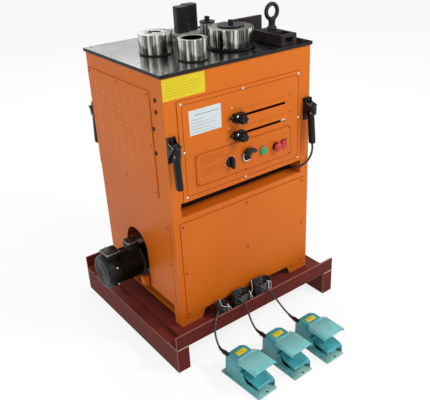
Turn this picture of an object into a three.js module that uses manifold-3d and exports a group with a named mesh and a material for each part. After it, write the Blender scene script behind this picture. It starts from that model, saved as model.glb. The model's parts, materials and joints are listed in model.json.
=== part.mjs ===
// A combined rebar bender and cutter: a welded skid, a sheet-metal cabinet with
// its control panel, a steel work table with bending rollers, cutting jaws and a
// sliding stop, a gear motor at the side and three corded foot switches.
// Millimetres, +Z up, the operator stands on the -Y side.
import * as THREE from 'three';
import * as BufferGeometryUtils from 'three/addons/utils/BufferGeometryUtils.js';
import Module from 'manifold-3d';

const wasm = await Module();
wasm.setup();

// Driving dimensions
const cabinetWidth = 609;
const cabinetDepth = 486;
const lowerHeight = 433;
const upperHeight = 473;
const slotHeight = 51;
const slotDepth = 57;
const sheet = 3;
const coverSheet = 2.5;
const tableOverhang = 5.5;
const tableThickness = 12;
const skidSide = 76.5;
const skidToe = 77;
const skidHeel = 119;
const runnerWidth = 50;
const runnerHeight = 96;
const runnerWall = 5;
const angleHeight = 57;
const angleLeg = 60;
const angleThickness = 6;
const deckThickness = 12;
const deckInset = 60;
const seat = 0.3;
const overrun = 5;
const roundSides = 28;
const smallSides = 12;
const screwSides = 8;

// Levels and faces that pieces share
const deckBottom = runnerHeight + seat + angleThickness + seat;
const deckTop = deckBottom + deckThickness;
const lowerBottom = deckTop + seat;
const lowerTop = lowerBottom + lowerHeight;
const upperBottom = lowerTop + seat;
const upperTop = upperBottom + upperHeight;
const tableBottom = upperTop + seat;
const tableTop = tableBottom + tableThickness;
const halfWidth = cabinetWidth / 2;
const halfDepth = cabinetDepth / 2;
const frontFace = -halfDepth;

// The table reaches over the cabinet all round, and the skid reaches out from under it
const tableWidth = cabinetWidth + 2 * tableOverhang;
const tableDepth = cabinetDepth + 2 * tableOverhang;
const halfTable = tableWidth / 2;
const tableFront = -tableDepth / 2;
const tableBack = tableDepth / 2;
const skidWidth = cabinetWidth + 2 * skidSide;
const skidFront = halfDepth + skidToe;
const skidBack = halfDepth + skidHeel;

// Finishes
const finish = (color, roughness, metalness) =>
  new THREE.MeshStandardMaterial({ color, roughness, metalness });
const orangePaint = finish(0xd4702a, 0.45, 0);
const redOxide = finish(0x6e2420, 0.6, 0);
const blackSteel = finish(0x1c1c1e, 0.4, 0.6);
const blackPlastic = finish(0x161618, 0.5, 0);
const brightSteel = finish(0xb9bbb8, 0.25, 1);
const machinedSteel = finish(0x8d8f8e, 0.4, 1);
const castGrey = finish(0x565a5c, 0.7, 0.3);
const motorGreen = finish(0x14251d, 0.5, 0.1);
const tealPaint = finish(0x4fa8aa, 0.45, 0.1);
const greenPlastic = finish(0x1f9a4c, 0.4, 0);
const redPlastic = finish(0xc3231c, 0.4, 0);
const cordRubber = finish(0x121213, 0.6, 0);

// Geometry helpers
function outward(geometry) {
  const flat = geometry.index ? geometry.toNonIndexed() : geometry;
  const p = flat.attributes.position;
  const [a, b, c] = [new THREE.Vector3(), new THREE.Vector3(), new THREE.Vector3()];
  let volume = 0;
  for (let i = 0; i < p.count; i += 3) {
    a.fromBufferAttribute(p, i);
    b.fromBufferAttribute(p, i + 1);
    c.fromBufferAttribute(p, i + 2);
    volume += a.dot(b.cross(c));
  }
  if (volume > 0) return geometry;
  const index = geometry.index ?? { array: [...Array(p.count).keys()] };
  const flipped = [];
  for (let i = 0; i < index.array.length; i += 3) {
    flipped.push(index.array[i], index.array[i + 2], index.array[i + 1]);
  }
  geometry.setIndex(flipped);
  return geometry;
}

function bare(geometry) {
  const copy = geometry.clone();
  for (const name of Object.keys(copy.attributes)) {
    if (name !== 'position') copy.deleteAttribute(name);
  }
  const merged = BufferGeometryUtils.mergeVertices(copy);
  const faces = [];
  for (let i = 0; i < merged.index.count; i += 3) {
    const [a, b, c] = merged.index.array.slice(i, i + 3);
    const whole = a !== b && b !== c && c !== a;
    if (whole) faces.push(a, b, c);
  }
  merged.setIndex(faces);
  return outward(merged);
}

function toSolid(geometry) {
  const clean = bare(geometry);
  const vertProperties = new Float32Array(clean.attributes.position.array);
  const triVerts = new Uint32Array(clean.index.array);
  return new wasm.Manifold(new wasm.Mesh({ numProp: 3, vertProperties, triVerts }));
}

function toGeometry(solid) {
  const mesh = solid.getMesh();
  const geometry = new THREE.BufferGeometry();
  geometry.setAttribute('position', new THREE.BufferAttribute(mesh.vertProperties, 3));
  geometry.setIndex([...mesh.triVerts]);
  return geometry;
}

function join(first, ...others) {
  return toGeometry(others.reduce((sum, next) => sum.add(toSolid(next)), toSolid(first)));
}

function cut(first, ...tools) {
  return toGeometry(tools.reduce((rest, tool) => rest.subtract(toSolid(tool)), toSolid(first)));
}

function block([x0, x1], [y0, y1], [z0, z1]) {
  const geometry = new THREE.BoxGeometry(x1 - x0, y1 - y0, z1 - z0);
  return geometry.translate((x0 + x1) / 2, (y0 + y1) / 2, (z0 + z1) / 2);
}

function upright(radius, [z0, z1], x = 0, y = 0, sides = smallSides) {
  const geometry = new THREE.CylinderGeometry(radius, radius, z1 - z0, sides);
  return geometry.rotateX(Math.PI / 2).translate(x, y, (z0 + z1) / 2);
}

function alongX(radius, [x0, x1], y, z, sides = smallSides) {
  const geometry = new THREE.CylinderGeometry(radius, radius, x1 - x0, sides);
  return geometry.rotateZ(Math.PI / 2).translate((x0 + x1) / 2, y, z);
}

function alongY(radius, [y0, y1], x, z, sides = smallSides) {
  const geometry = new THREE.CylinderGeometry(radius, radius, y1 - y0, sides);
  return geometry.translate(x, (y0 + y1) / 2, z);
}

// Turned about +Z from [radius, height] pairs
function turned(profile, sides = roundSides) {
  const points = profile.map(([r, z]) => new THREE.Vector2(r, z));
  return outward(new THREE.LatheGeometry(points, sides).rotateX(Math.PI / 2));
}

function outline(points, holes = []) {
  const shape = new THREE.Shape(points.map(([u, v]) => new THREE.Vector2(u, v)));
  for (const hole of holes) {
    shape.holes.push(new THREE.Path(hole.map(([u, v]) => new THREE.Vector2(u, v))));
  }
  return shape;
}

const rectangle = ([u0, u1], [v0, v1]) => [[u0, v0], [u1, v0], [u1, v1], [u0, v1]];

function circle(radius, u, v, sides) {
  const points = [];
  for (let i = 0; i < sides; i += 1) {
    const angle = (2 * Math.PI * i) / sides;
    points.push([u + radius * Math.cos(angle), v + radius * Math.sin(angle)]);
  }
  return points;
}

function extrude(shape, depth) {
  return new THREE.ExtrudeGeometry(shape, { depth, bevelEnabled: false });
}

// A plate whose outline is drawn in X and Z, lying between two Y values
function frontPlate(shape, [y0, y1]) {
  return extrude(shape, y1 - y0).rotateX(Math.PI / 2).translate(0, y1, 0);
}

// A plate whose outline is drawn in Y and Z, lying between two X values
function sidePlate(shape, [x0, x1]) {
  const basis = new THREE.Matrix4().makeBasis(
    new THREE.Vector3(0, 1, 0), new THREE.Vector3(0, 0, 1), new THREE.Vector3(1, 0, 0));
  return extrude(shape, x1 - x0).applyMatrix4(basis).translate(x0, 0, 0);
}

// A plate whose outline is drawn in X and Y, lying between two heights
function flatPlate(shape, [z0, z1]) {
  return extrude(shape, z1 - z0).translate(0, 0, z0);
}

// A section swept along a smooth route
function cordTube(places, radius, sides, steps) {
  const extrudePath = new THREE.CatmullRomCurve3(places.map((p) => new THREE.Vector3(...p)));
  return new THREE.ExtrudeGeometry(outline(circle(radius, 0, 0, sides)), { steps, extrudePath });
}

// A wound tube with flat ends through closely spaced points
function tubeThrough(points, radius, sides) {
  const vertices = [];
  const faces = [];
  const tangent = points.map((p, i) => {
    const before = points[Math.max(i - 1, 0)];
    const after = points[Math.min(i + 1, points.length - 1)];
    return after.clone().sub(before).normalize();
  });
  const side = new THREE.Vector3(0, 0, 1).cross(tangent[0]).normalize();
  points.forEach((p, i) => {
    side.addScaledVector(tangent[i], -side.dot(tangent[i])).normalize();
    const up = tangent[i].clone().cross(side);
    for (let k = 0; k < sides; k += 1) {
      const angle = (2 * Math.PI * k) / sides;
      const v = p.clone().addScaledVector(side, radius * Math.cos(angle));
      v.addScaledVector(up, radius * Math.sin(angle));
      vertices.push(v.x, v.y, v.z);
    }
  });
  for (let i = 0; i + 1 < points.length; i += 1) {
    for (let k = 0; k < sides; k += 1) {
      const [a, b] = [i * sides + k, i * sides + ((k + 1) % sides)];
      faces.push(a, b, b + sides, a, b + sides, a + sides);
    }
  }
  const last = (points.length - 1) * sides;
  for (let k = 1; k + 1 < sides; k += 1) {
    faces.push(0, k + 1, k, last, last + k, last + k + 1);
  }
  const geometry = new THREE.BufferGeometry();
  geometry.setAttribute('position', new THREE.Float32BufferAttribute(vertices, 3));
  geometry.setIndex(faces);
  return outward(geometry);
}

const machine = new THREE.Group();

function add(name, geometry, material, parent = machine) {
  const mesh = new THREE.Mesh(bare(geometry), material);
  mesh.name = name;
  parent.add(mesh);
  return mesh;
}

// Skid: two hollow runners, two angle-iron cross members and a deck plate
function runner(side) {
  const outerX = side * skidWidth / 2;
  const innerX = outerX - side * runnerWidth;
  const [x0, x1] = [Math.min(outerX, innerX), Math.max(outerX, innerX)];
  const shell = block([x0, x1], [-skidFront, skidBack], [0, runnerHeight]);
  const hollow = block([x0 + runnerWall, x1 - runnerWall],
    [-skidFront + runnerWall, skidBack - runnerWall], [-overrun, runnerHeight - runnerWall]);
  return cut(shell, hollow);
}
add('skid_runner_left', runner(-1), redOxide);
add('skid_runner_right', runner(1), redOxide);

function crossMember(side, face) {
  const foot = runnerHeight + seat;
  const back = face - side * angleThickness;
  const toe = face - side * angleLeg;
  const profile = [[face, foot], [toe, foot], [toe, foot + angleThickness],
    [back, foot + angleThickness], [back, foot + angleHeight], [face, foot + angleHeight]];
  return sidePlate(outline(profile), [-skidWidth / 2, skidWidth / 2]);
}
add('cross_member_front', crossMember(-1, -skidFront), redOxide);
add('cross_member_rear', crossMember(1, skidBack), redOxide);

const deckHalf = skidWidth / 2 - deckInset;
const deckFront = -skidFront + angleThickness + seat;
const deckBack = skidBack - angleThickness - seat;
add('skid_deck', block([-deckHalf, deckHalf], [deckFront, deckBack], [deckBottom, deckTop]), redOxide);

// Lower cabinet: bent sheet on four feet, with the tool shelf as its front top edge
const frontFootWidth = 89;
const frontFootSlope = 15;
const frontSkirtRise = 35;
const sideFootWidth = 43;
const sideSkirtRise = 73;
const archRadius = 74;
const archY = 29;
const archRise = 218;
const archSteps = 12;
const rimWidth = 30;
const rearRimWidth = 50;
const flangeWidth = 17;
const archZ = lowerBottom + archRise;
const panBottom = lowerBottom + frontSkirtRise;

function frontOutline() {
  const footIn = halfWidth - frontFootWidth;
  const skirt = lowerBottom + frontSkirtRise;
  return outline([[-halfWidth, lowerBottom], [-footIn, lowerBottom], [-footIn + frontFootSlope, skirt],
    [footIn - frontFootSlope, skirt], [footIn, lowerBottom], [halfWidth, lowerBottom],
    [halfWidth, lowerTop], [-halfWidth, lowerTop]]);
}

function sideOutline(withArch) {
  const footIn = halfDepth - sideFootWidth;
  const skirt = lowerBottom + sideSkirtRise;
  const points = [[frontFace, lowerBottom], [-footIn, lowerBottom], [-footIn, skirt]];
  if (withArch) {
    points.push([archY - archRadius, skirt]);
    for (let i = 0; i <= archSteps; i += 1) {
      const angle = Math.PI * (1 - i / archSteps);
      points.push([archY + archRadius * Math.cos(angle), archZ + archRadius * Math.sin(angle)]);
    }
    points.push([archY + archRadius, skirt]);
  }
  points.push([footIn, skirt], [footIn, lowerBottom], [halfDepth, lowerBottom],
    [halfDepth, lowerTop], [frontFace, lowerTop]);
  return outline(points);
}

function rimmedBack([z0, z1]) {
  const window = rectangle([-halfWidth + rearRimWidth, halfWidth - rearRimWidth],
    [z0 + rimWidth, z1 - rimWidth]);
  return frontPlate(outline(rectangle([-halfWidth, halfWidth], [z0, z1]), [window]),
    [halfDepth - sheet, halfDepth]);
}

// The inner flange behind the front skirt that holds the three foot-switch glands
const glandRadius = 9;
const glandLength = 14;
const glandSetback = 34;
const glandDrop = 22;
const cordRadius = 3.5;
const glandFlangeReach = 30;
const leadNames = ['left', 'middle', 'right'];
const coilX = [-155, -66, 34];
const coilHalfRun = [4, 15, 17];
const coilLoops = [7, 8, 9];
const coils = leadNames.map((name, i) =>
  ({ name, x: coilX[i], halfRun: coilHalfRun[i], loops: coilLoops[i] }));
const foldRadius = 21;
const leadBend = 28;
const glandX = coils.map(({ x, halfRun }) => x + halfRun + leadBend);
const glandFace = frontFace + glandSetback - glandLength;
const glandZ = panBottom - glandDrop;

function glandFlange() {
  const x0 = glandX[0] - glandFlangeReach;
  const x1 = glandX[2] + glandFlangeReach;
  const y0 = frontFace + glandSetback;
  const plate = block([x0, x1], [y0, y0 + sheet], [lowerBottom + sheet, panBottom + sheet]);
  const nuts = glandX.map((x) => alongY(glandRadius, [glandFace, y0 + sheet / 2], x, glandZ, screwSides));
  return join(plate, ...nuts);
}

function lowerCabinet() {
  const front = frontPlate(frontOutline(), [frontFace, frontFace + sheet]);
  const left = sidePlate(sideOutline(true), [-halfWidth, -halfWidth + sheet]);
  const right = sidePlate(sideOutline(false), [halfWidth - sheet, halfWidth]);
  const shelf = block([-halfWidth, halfWidth], [frontFace, frontFace + slotDepth + sheet],
    [lowerTop - sheet, lowerTop]);
  const pan = block([-halfWidth + sheet / 2, halfWidth - sheet / 2],
    [frontFace + sheet / 2, halfDepth - sheet / 2], [panBottom, panBottom + sheet]);
  const back = rimmedBack([lowerBottom + sideSkirtRise, lowerTop]);
  return join(front, left, right, shelf, pan, back, glandFlange());
}
add('lower_cabinet', lowerCabinet(), orangePaint);

// Four folding carry handles on welded brackets, one at each upright edge of the upper cabinet
const bracketWidth = 30;
const bracketEar = 5;
const bracketDeep = 38;
const bracketTall = 66;
const bracketInset = 2;
const bracketRise = 222;
const pivotInset = 16;
const pivotRadius = 5;
const hubRadius = 9;
const gripRadius = 10;
const gripLength = 142;
const hubClearance = 0.6;
const gripSides = 10;
const bracketBottom = upperBottom + bracketRise;
const pivotDeep = bracketDeep - pivotInset;
const pivotRise = bracketTall - pivotInset - hubRadius;

function handleBracket() {
  // Origin: on the cabinet face at the bracket's foot, the face towards -Y
  const plate = block([-bracketWidth / 2, bracketWidth / 2], [-bracketEar, sheet / 2], [0, bracketTall]);
  const earOutline = [[0, 0], [0, bracketTall], [-bracketDeep / 2, bracketTall],
    [-bracketDeep, bracketTall - hubRadius], [-bracketDeep, pivotRise - hubRadius], [-bracketEar, 0]];
  const ears = [-1, 1].map((side) => {
    const x0 = side < 0 ? -bracketWidth / 2 : bracketWidth / 2 - bracketEar;
    return sidePlate(outline(earOutline), [x0, x0 + bracketEar]);
  });
  const pin = alongX(pivotRadius, [-bracketWidth / 2, bracketWidth / 2], -pivotDeep, pivotRise);
  return join(plate, ...ears, pin);
}

function carryHandle() {
  const hubHalf = bracketWidth / 2 - bracketEar - hubClearance;
  const hub = alongX(hubRadius, [-hubHalf, hubHalf], -pivotDeep, pivotRise);
  const grip = upright(gripRadius - hubClearance, [pivotRise - gripLength, pivotRise],
    0, -pivotDeep, gripSides);
  const bore = alongX(pivotRadius + hubClearance, [-bracketWidth, bracketWidth], -pivotDeep, pivotRise);
  return cut(join(hub, grip), bore);
}

const handlePlaces = [
  { name: 'front_left', x: -1, back: false }, { name: 'front_right', x: 1, back: false },
  { name: 'back_left', x: -1, back: true }, { name: 'back_right', x: 1, back: true },
];

function atHandle({ x, back }, geometry) {
  const centreX = x * (halfWidth - bracketInset - bracketWidth / 2);
  const turnedRound = back ? geometry.rotateZ(Math.PI) : geometry;
  return turnedRound.translate(centreX, back ? halfDepth : frontFace, bracketBottom);
}
for (const place of handlePlaces) {
  add(`carry_handle_${place.name}`, atHandle(place, carryHandle()), blackSteel);
}

// Upper cabinet: the shell above the tool slot, with windows behind its panels
const slotInsetLeft = 34.5;
const slotInsetRight = 38.5;
const panelInset = 46.5;
const panelHead = 81;
const panelCentre = 0;
const windowMargin = 22;
const ventInsetFront = 75.5;
const ventInsetBack = 3;
const ventFoot = 56;
const ventHead = 53;
const slotLeft = -halfWidth + slotInsetLeft;
const slotRight = halfWidth - slotInsetRight;
const panelHalf = halfWidth - panelInset;
const panelBottom = upperBottom + slotHeight;
const panelTop = upperTop - panelHead;
const ventFront = frontFace + ventInsetFront;
const ventBack = halfDepth - ventInsetBack;
const ventBottom = upperBottom + ventFoot;
const ventTop = upperTop - ventHead;

function upperCabinet() {
  const window = rectangle([panelCentre - panelHalf + windowMargin, panelCentre + panelHalf - windowMargin],
    [panelBottom + windowMargin, panelTop - windowMargin]);
  const frontPoints = [[-halfWidth, upperBottom], [slotLeft, upperBottom], [slotLeft, panelBottom],
    [slotRight, panelBottom], [slotRight, upperBottom], [halfWidth, upperBottom],
    [halfWidth, upperTop], [-halfWidth, upperTop]];
  const front = frontPlate(outline(frontPoints, [window]), [frontFace, frontFace + sheet]);
  const sideShape = rectangle([frontFace, halfDepth], [upperBottom, upperTop]);
  const ventWindow = rectangle([ventFront + windowMargin, ventBack - rimWidth],
    [ventBottom + windowMargin, ventTop - windowMargin]);
  const left = sidePlate(outline(sideShape, [ventWindow]), [-halfWidth, -halfWidth + sheet]);
  const right = sidePlate(outline(sideShape), [halfWidth - sheet, halfWidth]);
  const back = rimmedBack([upperBottom, upperTop]);
  const slotBack = frontFace + slotDepth;
  const liner = [
    block([slotLeft - sheet, slotRight + sheet], [frontFace, slotBack + sheet],
      [panelBottom, panelBottom + sheet]),
    block([slotLeft - sheet, slotRight + sheet], [slotBack, slotBack + sheet],
      [upperBottom, panelBottom + sheet]),
    block([slotLeft - sheet, slotLeft], [frontFace, slotBack + sheet], [upperBottom, panelBottom + sheet]),
    block([slotRight, slotRight + sheet], [frontFace, slotBack + sheet], [upperBottom, panelBottom + sheet]),
  ];
  const flange = cut(
    block([-halfWidth, halfWidth], [frontFace, halfDepth], [upperTop - sheet, upperTop]),
    block([-halfWidth + flangeWidth, halfWidth - flangeWidth],
      [frontFace + flangeWidth, halfDepth - flangeWidth], [upperTop - sheet - overrun, upperTop + overrun]));
  const brackets = handlePlaces.map((place) => atHandle(place, handleBracket()));
  return join(front, left, right, back, ...liner, flange, ...brackets);
}
add('upper_cabinet', upperCabinet(), orangePaint);

// Covers screwed on the cabinet
const ventColumns = 6;
const ventRows = 12;
const ventHoleRadius = 4;
const ventHoleSides = 6;
const ventMarginFront = 106.5;
const ventMarginBack = 49.5;
const ventMarginFoot = 93;
const ventMarginHead = 53.2;
const ventFirstY = ventFront + ventMarginFront;
const ventFirstZ = ventBottom + ventMarginFoot;
const ventColumnStep = (ventBack - ventMarginBack - ventFirstY) / (ventColumns - 1);
const ventRowStep = (ventTop - ventMarginHead - ventFirstZ) / (ventRows - 1);
const ventFace = -halfWidth - seat - coverSheet;

function ventPanel() {
  const holes = [];
  for (let column = 0; column < ventColumns; column += 1) {
    for (let row = 0; row < ventRows; row += 1) {
      holes.push(circle(ventHoleRadius, ventFirstY + column * ventColumnStep,
        ventFirstZ + row * ventRowStep, ventHoleSides));
    }
  }
  const plate = outline(rectangle([ventFront, ventBack], [ventBottom, ventTop]), holes);
  return sidePlate(plate, [ventFace, -halfWidth - seat]);
}
add('vent_panel', ventPanel(), orangePaint);

const lowerPanelInset = 24.5;
const lowerPanelFoot = 29;
const lowerPanelHead = 22;
const lowerPanelHalf = halfWidth - lowerPanelInset;
const lowerPanelBottom = lowerBottom + lowerPanelFoot;
const lowerPanelTop = lowerTop - lowerPanelHead;
const lowerPanelCorner = halfWidth - frontFootWidth + frontFootSlope;
const lowerPanelNotch = panBottom + sheet;
function lowerFrontPanel() {
  const points = [[-lowerPanelHalf, lowerPanelBottom], [-lowerPanelCorner, lowerPanelBottom],
    [-lowerPanelCorner + frontFootSlope, lowerPanelNotch],
    [lowerPanelCorner - frontFootSlope, lowerPanelNotch], [lowerPanelCorner, lowerPanelBottom],
    [lowerPanelHalf, lowerPanelBottom], [lowerPanelHalf, lowerPanelTop], [-lowerPanelHalf, lowerPanelTop]];
  return frontPlate(outline(points), [frontFace - seat - coverSheet, frontFace - seat]);
}
add('lower_front_panel', lowerFrontPanel(), orangePaint);

const backPanelInset = 10;
const backPanelSideInset = 36;
const louvreCount = 8;
const louvreWidth = 120;
const louvreHeight = 8;
const louvreStep = 24;
const backPanelBottom = lowerBottom + sideSkirtRise + backPanelInset;
const backPanelTop = upperTop - backPanelInset;
function backPanel() {
  const face = [halfDepth + seat, halfDepth + seat + coverSheet];
  const edge = halfWidth - backPanelSideInset;
  const louvres = [];
  for (const x of [-louvreWidth, louvreWidth]) {
    for (let i = 0; i < louvreCount; i += 1) {
      const z = lowerTop + i * louvreStep;
      louvres.push(block([x - louvreWidth / 2, x + louvreWidth / 2],
        [face[0] - overrun, face[1] + overrun], [z, z + louvreHeight]));
    }
  }
  return cut(block([-edge, edge], face, [backPanelBottom, backPanelTop]), ...louvres);
}
add('back_panel', backPanel(), orangePaint);

// Control panel with two angle slots, and the switch plate over its own window
const panelFace = frontFace - seat - coverSheet;
const angleSlotInset = 73;
const angleSlotLength = 237;
const angleSlotHeight = 9;
const angleSlotRise = [178, 240];
const angleSlotRight = panelHalf - angleSlotInset;
const angleSlotLeft = angleSlotRight - angleSlotLength;
const switchInsetLeft = 53;
const switchInsetRight = 47;
const switchRise = 41;
const switchHeight = 113;
const switchRowRise = 51;
const switchLeft = -panelHalf + switchInsetLeft;
const switchRight = panelHalf - switchInsetRight;
const switchBottom = panelBottom + switchRise;
const switchTop = switchBottom + switchHeight;
const switchZ = switchBottom + switchRowRise;

function controlPanel() {
  const holes = angleSlotRise.map((rise) => rectangle([angleSlotLeft, angleSlotRight],
    [panelBottom + rise - angleSlotHeight / 2, panelBottom + rise + angleSlotHeight / 2]));
  holes.push(rectangle([switchLeft + windowMargin, switchRight - windowMargin],
    [switchBottom + windowMargin, switchTop - windowMargin]));
  return frontPlate(outline(rectangle([-panelHalf, panelHalf], [panelBottom + seat, panelTop]), holes),
    [panelFace, frontFace - seat]);
}
add('control_panel', controlPanel(), orangePaint);

const switchFace = panelFace - seat - coverSheet;
const stemRadius = 4;
const stemClearance = 0.5;
const rotaryInset = 277;
const selectorInset = 208;
const startInset = 132;
const stopInset = 73;
const rockerInset = 36;
const rotaryX = switchRight - rotaryInset;
const selectorX = switchRight - selectorInset;
const startX = switchRight - startInset;
const stopX = switchRight - stopInset;
const rockerX = switchRight - rockerInset;
const rockerHalf = 8;
const rockerTall = 12;
function switchPlate() {
  const holes = [rotaryX, selectorX, startX, stopX].map((x) =>
    circle(stemRadius + stemClearance, x, switchZ, smallSides));
  holes.push(rectangle([rockerX - rockerHalf - stemClearance, rockerX + rockerHalf + stemClearance],
    [switchZ - rockerTall - stemClearance, switchZ + rockerTall + stemClearance]));
  return frontPlate(outline(rectangle([switchLeft, switchRight], [switchBottom, switchTop]), holes),
    [switchFace, panelFace - seat]);
}
add('switch_plate', switchPlate(), orangePaint);

// Controls on the switch plate
const stemLength = 14;
const stemBack = switchFace + stemLength;

function facing(profile, x, z, sides) {
  // A turned piece whose axis points at the operator; heights grow towards -Y
  return turned(profile, sides).rotateX(Math.PI / 2).translate(x, switchFace, z);
}

const knobFlare = 17;
const knobWaist = 14;
const knobDeep = 8;
const knobTall = 22;
const gripHalf = 4;
function rotaryKnob() {
  const body = facing([[0, stemRadius / 2], [knobFlare, stemRadius / 2], [knobFlare, knobDeep],
    [knobWaist, knobDeep + gripHalf], [0, knobDeep + gripHalf]], rotaryX, switchZ, smallSides);
  const grip = block([rotaryX - gripHalf, rotaryX + gripHalf],
    [switchFace - knobTall, switchFace - knobDeep], [switchZ - knobFlare, switchZ + knobFlare]);
  const stem = alongY(stemRadius, [switchFace - knobDeep, stemBack], rotaryX, switchZ);
  return join(body, grip, stem);
}
add('rotary_knob', rotaryKnob(), blackPlastic);

const selectorRadius = 12;
const selectorDeep = 10;
const leverHalf = 3.5;
const leverReach = 34;
const leverTilt = THREE.MathUtils.degToRad(32);
function selectorLever() {
  const body = facing([[0, stemRadius / 2], [selectorRadius, stemRadius / 2],
    [selectorRadius, selectorDeep], [0, selectorDeep]], selectorX, switchZ, smallSides);
  const lever = block([-selectorRadius, leverReach], [-selectorDeep - leverHalf, -selectorDeep / 2],
    [-leverHalf, leverHalf]).rotateY(-leverTilt).translate(selectorX, switchFace, switchZ);
  const stem = alongY(stemRadius, [switchFace - selectorDeep, stemBack], selectorX, switchZ);
  return join(body, lever, stem);
}
add('selector_lever', selectorLever(), blackPlastic);

const startRadius = 10;
const startFloat = 3.5;
const startTall = 10;
function pushButton(x, radius, float, tall) {
  const head = alongY(radius, [switchFace - tall, switchFace - float], x, switchZ);
  const stem = alongY(stemRadius, [switchFace - tall, stemBack], x, switchZ);
  return join(head, stem);
}
add('start_button', pushButton(startX, startRadius, startFloat, startTall), greenPlastic);

const stopRadius = 14;
const stopFloat = 12;
const stopTall = 24;
const stopNeck = 8;
const stopTravelRoom = 5;
function mushroomButton() {
  const neck = alongY(stopNeck, [switchFace - stopTall, switchFace - stopTravelRoom], stopX, switchZ);
  return join(pushButton(stopX, stopRadius, stopFloat, stopTall), neck);
}
add('stop_button', mushroomButton(), redPlastic);

const rockerProud = 6;
const rockerBack = 6;
const rockerPivotY = switchFace - seat;
const rockerTip = 2;
function rockerSwitch() {
  const side = [[rockerPivotY - rockerProud, -rockerTall + rockerTip],
    [rockerPivotY - rockerTip, 0], [rockerPivotY - rockerProud, rockerTall - rockerTip],
    [rockerPivotY + rockerBack, rockerTall / 2], [rockerPivotY + rockerBack, -rockerTall / 2]];
  const shape = outline(side.map(([y, z]) => [y, z + switchZ]));
  return sidePlate(shape, [rockerX - rockerHalf, rockerX + rockerHalf]);
}
add('rocker_switch', rockerSwitch(), redPlastic);

// Angle setters: a block that slides in its slot and a lobed clamp knob on it
const sliderHalf = 22;
const sliderTall = 17;
const sliderDeep = 20;
const sliderInset = 24;
const sliderX = angleSlotLeft + sliderInset;
const tongueHalf = 12;
const tongueClearance = 0.5;
const lobeCount = 6;
const lobeRadius = 15;
const lobeDepth = 2.5;
const lobeSteps = 30;
const clampDeep = 22;
const boltRadius = 4;
const boltReach = 6;
const sliderZ = angleSlotRise.map((rise) => panelBottom + rise);

function angleSlider(z) {
  const front = panelFace - seat - sliderDeep;
  const body = block([sliderX - sliderHalf, sliderX + sliderHalf], [front, panelFace - seat],
    [z - sliderTall, z + sliderTall]);
  const tongueZ = angleSlotHeight / 2 - tongueClearance;
  const tongue = block([sliderX - tongueHalf, sliderX + tongueHalf], [panelFace - sliderDeep / 2, frontFace],
    [z - tongueZ, z + tongueZ]);
  const hole = alongY(boltRadius + stemClearance, [front - overrun, front + boltReach + stemClearance],
    sliderX, z);
  return cut(join(body, tongue), hole);
}

function angleKnob(z) {
  const front = panelFace - seat - sliderDeep;
  const points = [];
  for (let i = 0; i < lobeSteps; i += 1) {
    const angle = (2 * Math.PI * i) / lobeSteps;
    const radius = lobeRadius + lobeDepth * Math.cos(lobeCount * angle);
    points.push([sliderX + radius * Math.cos(angle), z + radius * Math.sin(angle)]);
  }
  const knob = frontPlate(outline(points), [front - seat - clampDeep, front - seat]);
  const bolt = alongY(boltRadius, [front - clampDeep / 2, front + boltReach], sliderX, z);
  return join(knob, bolt);
}
['lower', 'upper'].forEach((name, i) => {
  add(`angle_slider_${name}`, angleSlider(sliderZ[i]), blackPlastic);
  add(`angle_knob_${name}`, angleKnob(sliderZ[i]), blackPlastic);
});

// Work table with its bores
const bendShare = 0.19355;
const bendInset = 130;
const bendX = halfTable * bendShare;
const bendY = frontFace + bendInset;
const spindleRadius = 25;
const runningFit = 0.3;
const tableHoleRadius = 4;
const tableHoleInset = 22;
const bedOffset = 54;
const bedWidth = 118;
const bedDepth = 121;
const bedInset = 5.5;
const jawInset = 8;
const jawDepth = 42;
const fixedJawWidth = 44;
const fixedJawSetback = 8;
const jawSideGap = 8;
const movingJawWidth = 49;
const movingJawSetback = 28;
const ramInset = 12;
const ramSetback = 1;
const ramWidth = 26;
const ramDepth = 14;
const bedX = [bendX - bedOffset, bendX - bedOffset + bedWidth];
const bedY = [tableBack - bedInset - bedDepth, tableBack - bedInset];
const fixedJawX = [bedX[0] + jawInset, bedX[0] + jawInset + fixedJawWidth];
const fixedJawY = [bedY[0] + fixedJawSetback, bedY[0] + fixedJawSetback + jawDepth];
const movingJawX = [fixedJawX[1] + jawSideGap, fixedJawX[1] + jawSideGap + movingJawWidth];
const movingJawY = [bedY[0] + movingJawSetback, bedY[0] + movingJawSetback + jawDepth];
const ramLeft = movingJawX[0] + ramInset;
const ramFront = movingJawY[0] + ramSetback;
const cutterStroke = 50;
const ramClearance = 2;
const ramSlot = [[ramLeft - ramClearance, ramLeft + ramWidth + ramClearance],
  [ramFront - ramClearance, ramFront + ramDepth + cutterStroke + ramClearance]];

function tablePlate() {
  const corners = [];
  for (const x of [-halfTable + tableHoleInset, halfTable - tableHoleInset]) {
    for (const y of [tableFront + tableHoleInset, tableBack - tableHoleInset]) {
      corners.push(circle(tableHoleRadius, x, y, screwSides));
    }
  }
  const holes = [...corners, circle(spindleRadius + overrun, bendX, bendY, roundSides),
    rectangle(...ramSlot)];
  const plate = outline(rectangle([-halfTable, halfTable], [tableFront, tableBack]), holes);
  return flatPlate(plate, [tableBottom, tableTop]);
}
add('table_plate', tablePlate(), blackSteel);

// Cutter: a bed on the table, a fixed jaw and a jaw on a ram that slides in Y
const jawHeight = 93;
const bedThickness = 12;
const jawChamfer = 8;
const bedTop = tableTop + seat + bedThickness;
const jawTop = bedTop + seat + jawHeight;
const ramTail = 46;

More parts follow.
